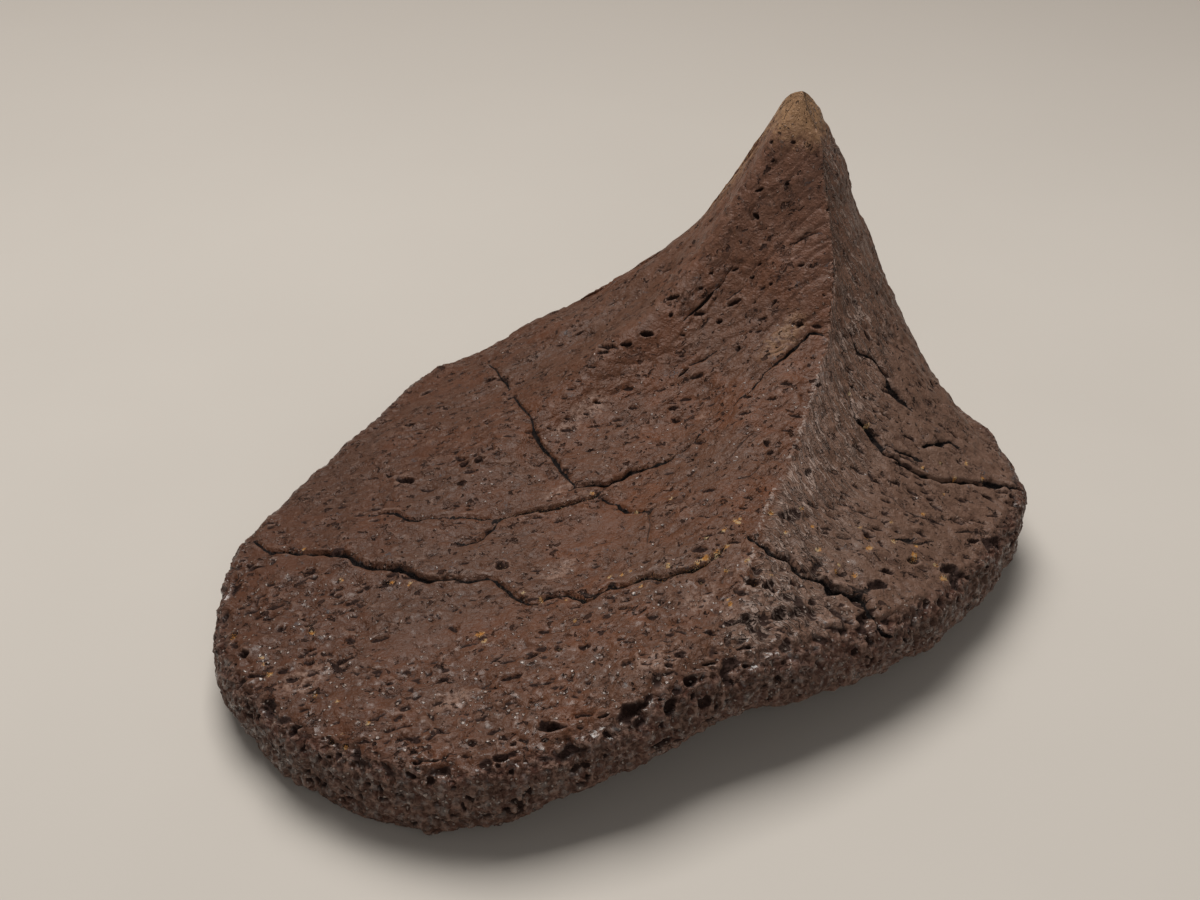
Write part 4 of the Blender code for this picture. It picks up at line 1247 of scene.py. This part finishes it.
    # Painted shade inside pits, open cells and ragged hollows.
    colour = finish.mix(hollow_shade.step(0.36, 0.66) * 0.9, colour, RECESS_SHADE_BROWN)
    # Painted shade in tiny pits along the grain, which the mesh does not carry.
    colour = finish.mix(pricks * 0.8, colour, RECESS_SHADE_BROWN)
    colour = finish.mix(fibres * 0.75, colour, FIBRE_PALE)
    glint_colour = finish.mix((crumbly + wall).least(1.0) * 0.8, WORN_AND_SHEEN_LILAC, GLINT_PALE)
    colour = finish.mix(glint * 0.7, colour, glint_colour)
    # The cracks' insides near black: painted shade.
    crack_rag = 1.0 + (fine - 0.5) * 0.9
    crack = (1 - crack_side.size().step(0.75, 1.05)) * (1 - crack_gap.step(1.5, 2.4))
    crack = crack * crack_rag.least(1.0) * crack_share
    colour = finish.mix(crack, colour, CRACK_SHADE_BLACK)
    specks = finish.noise(place, 6.5, 2.0, 0.6)
    crumbs = (ochre + (specks - 0.5) * 2.2 - 0.50).step(0.0, 0.15)
    fill = finish.mix(fine.step(0.42, 0.62), OCHRE, CREAM)
    colour = finish.mix(crumbs * 0.85, colour, fill)

    dark = (crack + pricks + hollow_shade.step(0.3, 0.8) + crevice).least(1.0)
    rough = 0.48 + 0.25 * (dust - 0.5) - 0.20 * glint + 0.4 * dark
    shine = sheen.step(0.50, 0.70)
    coat = (0.10 + 0.30 * crumbly) * shine + 1.0 * wall * sheen.step(0.46, 0.66) + 0.5 * glint
    coat = coat * (1 - dark) * (1 - 0.5 * smooth)
    relief = 0.25 * streaks * top + 0.5 * dashes * rough_top - 1.1 * pricks - 0.35 * crevice
    relief = relief + 0.6 * glint + 0.45 * fine + 0.12 * dust - 0.5 * cell + 0.7 * fibres
    normal = finish.bump(relief, 0.0005, 1.0)
    finish.connect(coat, finish.surface.inputs["Coat Weight"])
    finish.surface.inputs["Coat Roughness"].default_value = 0.22
    finish.connect(colour, finish.surface.inputs["Base Color"])
    finish.connect(rough, finish.surface.inputs["Roughness"])
    finish.connect(normal, finish.surface.inputs["Normal"])
    finish.surface.inputs["Specular IOR Level"].default_value = 0.2
    return finish.material


TABLE_PALE = (0.60, 0.562, 0.515, 1)
TABLE_SHADE = (0.40, 0.365, 0.33, 1)
TABLE_SIDE = 6.0


def table_top():
    """The plain pale table that the plate lies on."""
    deselect()
    bpy.ops.mesh.primitive_plane_add(size=TABLE_SIDE, location=(0, 0, 0))
    table = bpy.context.object
    table.name = "table"
    finish = Finish("table_pale")
    place = finish.node("ShaderNodeTexCoord", output="Object")
    cloud = finish.noise(place, 14.0, 3.0, 0.5)
    colour = finish.mix(cloud * 0.3, TABLE_PALE, TABLE_SHADE)
    # Painted shade: the table darker further back, where the lamp's light falls off.
    far_shade = finish.parts(place)[1].step(0.0, 0.50)
    colour = finish.mix(far_shade * 1.85, colour, TABLE_SHADE)
    finish.connect(colour, finish.surface.inputs["Base Color"])
    finish.surface.inputs["Roughness"].default_value = 0.7
    finish.surface.inputs["Specular IOR Level"].default_value = 0.2
    table.data.materials.append(finish.material)


def aimed(obj, place, target):
    obj.location = place
    obj.rotation_mode = "QUATERNION"
    obj.rotation_quaternion = (Vector(place) - Vector(target)).to_track_quat("Z", "Y")


def lamp(name, place, target, side, power, colour):
    light = bpy.data.lights.new(name, "AREA")
    light.shape = "SQUARE"
    light.size, light.energy, light.color = side, power, colour
    obj = bpy.data.objects.new(name, light)
    bpy.context.scene.collection.objects.link(obj)
    aimed(obj, place, target)


def light_and_camera():
    lamp("overhead", (-0.16, 0.32, 0.92), (0, 0, 0.02), 0.62, 9.9, (1.0, 0.97, 0.93))
    lamp("front_fill", (0.30, -0.9, 0.6), (0, 0, 0.02), 0.8, 1.7, (1.0, 0.97, 0.94))
    world = bpy.context.scene.world or bpy.data.worlds.new("room")
    bpy.context.scene.world = world
    world.use_nodes = True
    surround = world.node_tree.nodes["Background"]
    surround.inputs[0].default_value = (1.0, 0.975, 0.94, 1)
    surround.inputs[1].default_value = 0.12
    camera = bpy.data.cameras.new("camera")
    camera.lens, camera.sensor_width = CAMERA_LENS, CAMERA_SENSOR
    camera.clip_start, camera.clip_end = 0.01, 20
    eye = bpy.data.objects.new("camera", camera)
    bpy.context.scene.collection.objects.link(eye)
    aimed(eye, tuple(camera_axes()[3] * MM), tuple(CAMERA_TARGET * MM))
    bpy.context.scene.camera = eye
    bpy.context.scene.view_settings.view_transform = "Standard"
    bpy.context.scene.view_settings.look = "None"


def main():
    scute, rings, shoulder_column = build_skin()
    press_lumps(scute)
    press_relief(scute, rings, shoulder_column)
    scute.data.materials.clear()
    scute.data.materials.append(fossil_bone())
    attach(scute, "root")
    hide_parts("scute")
    table_top()
    light_and_camera()


main()
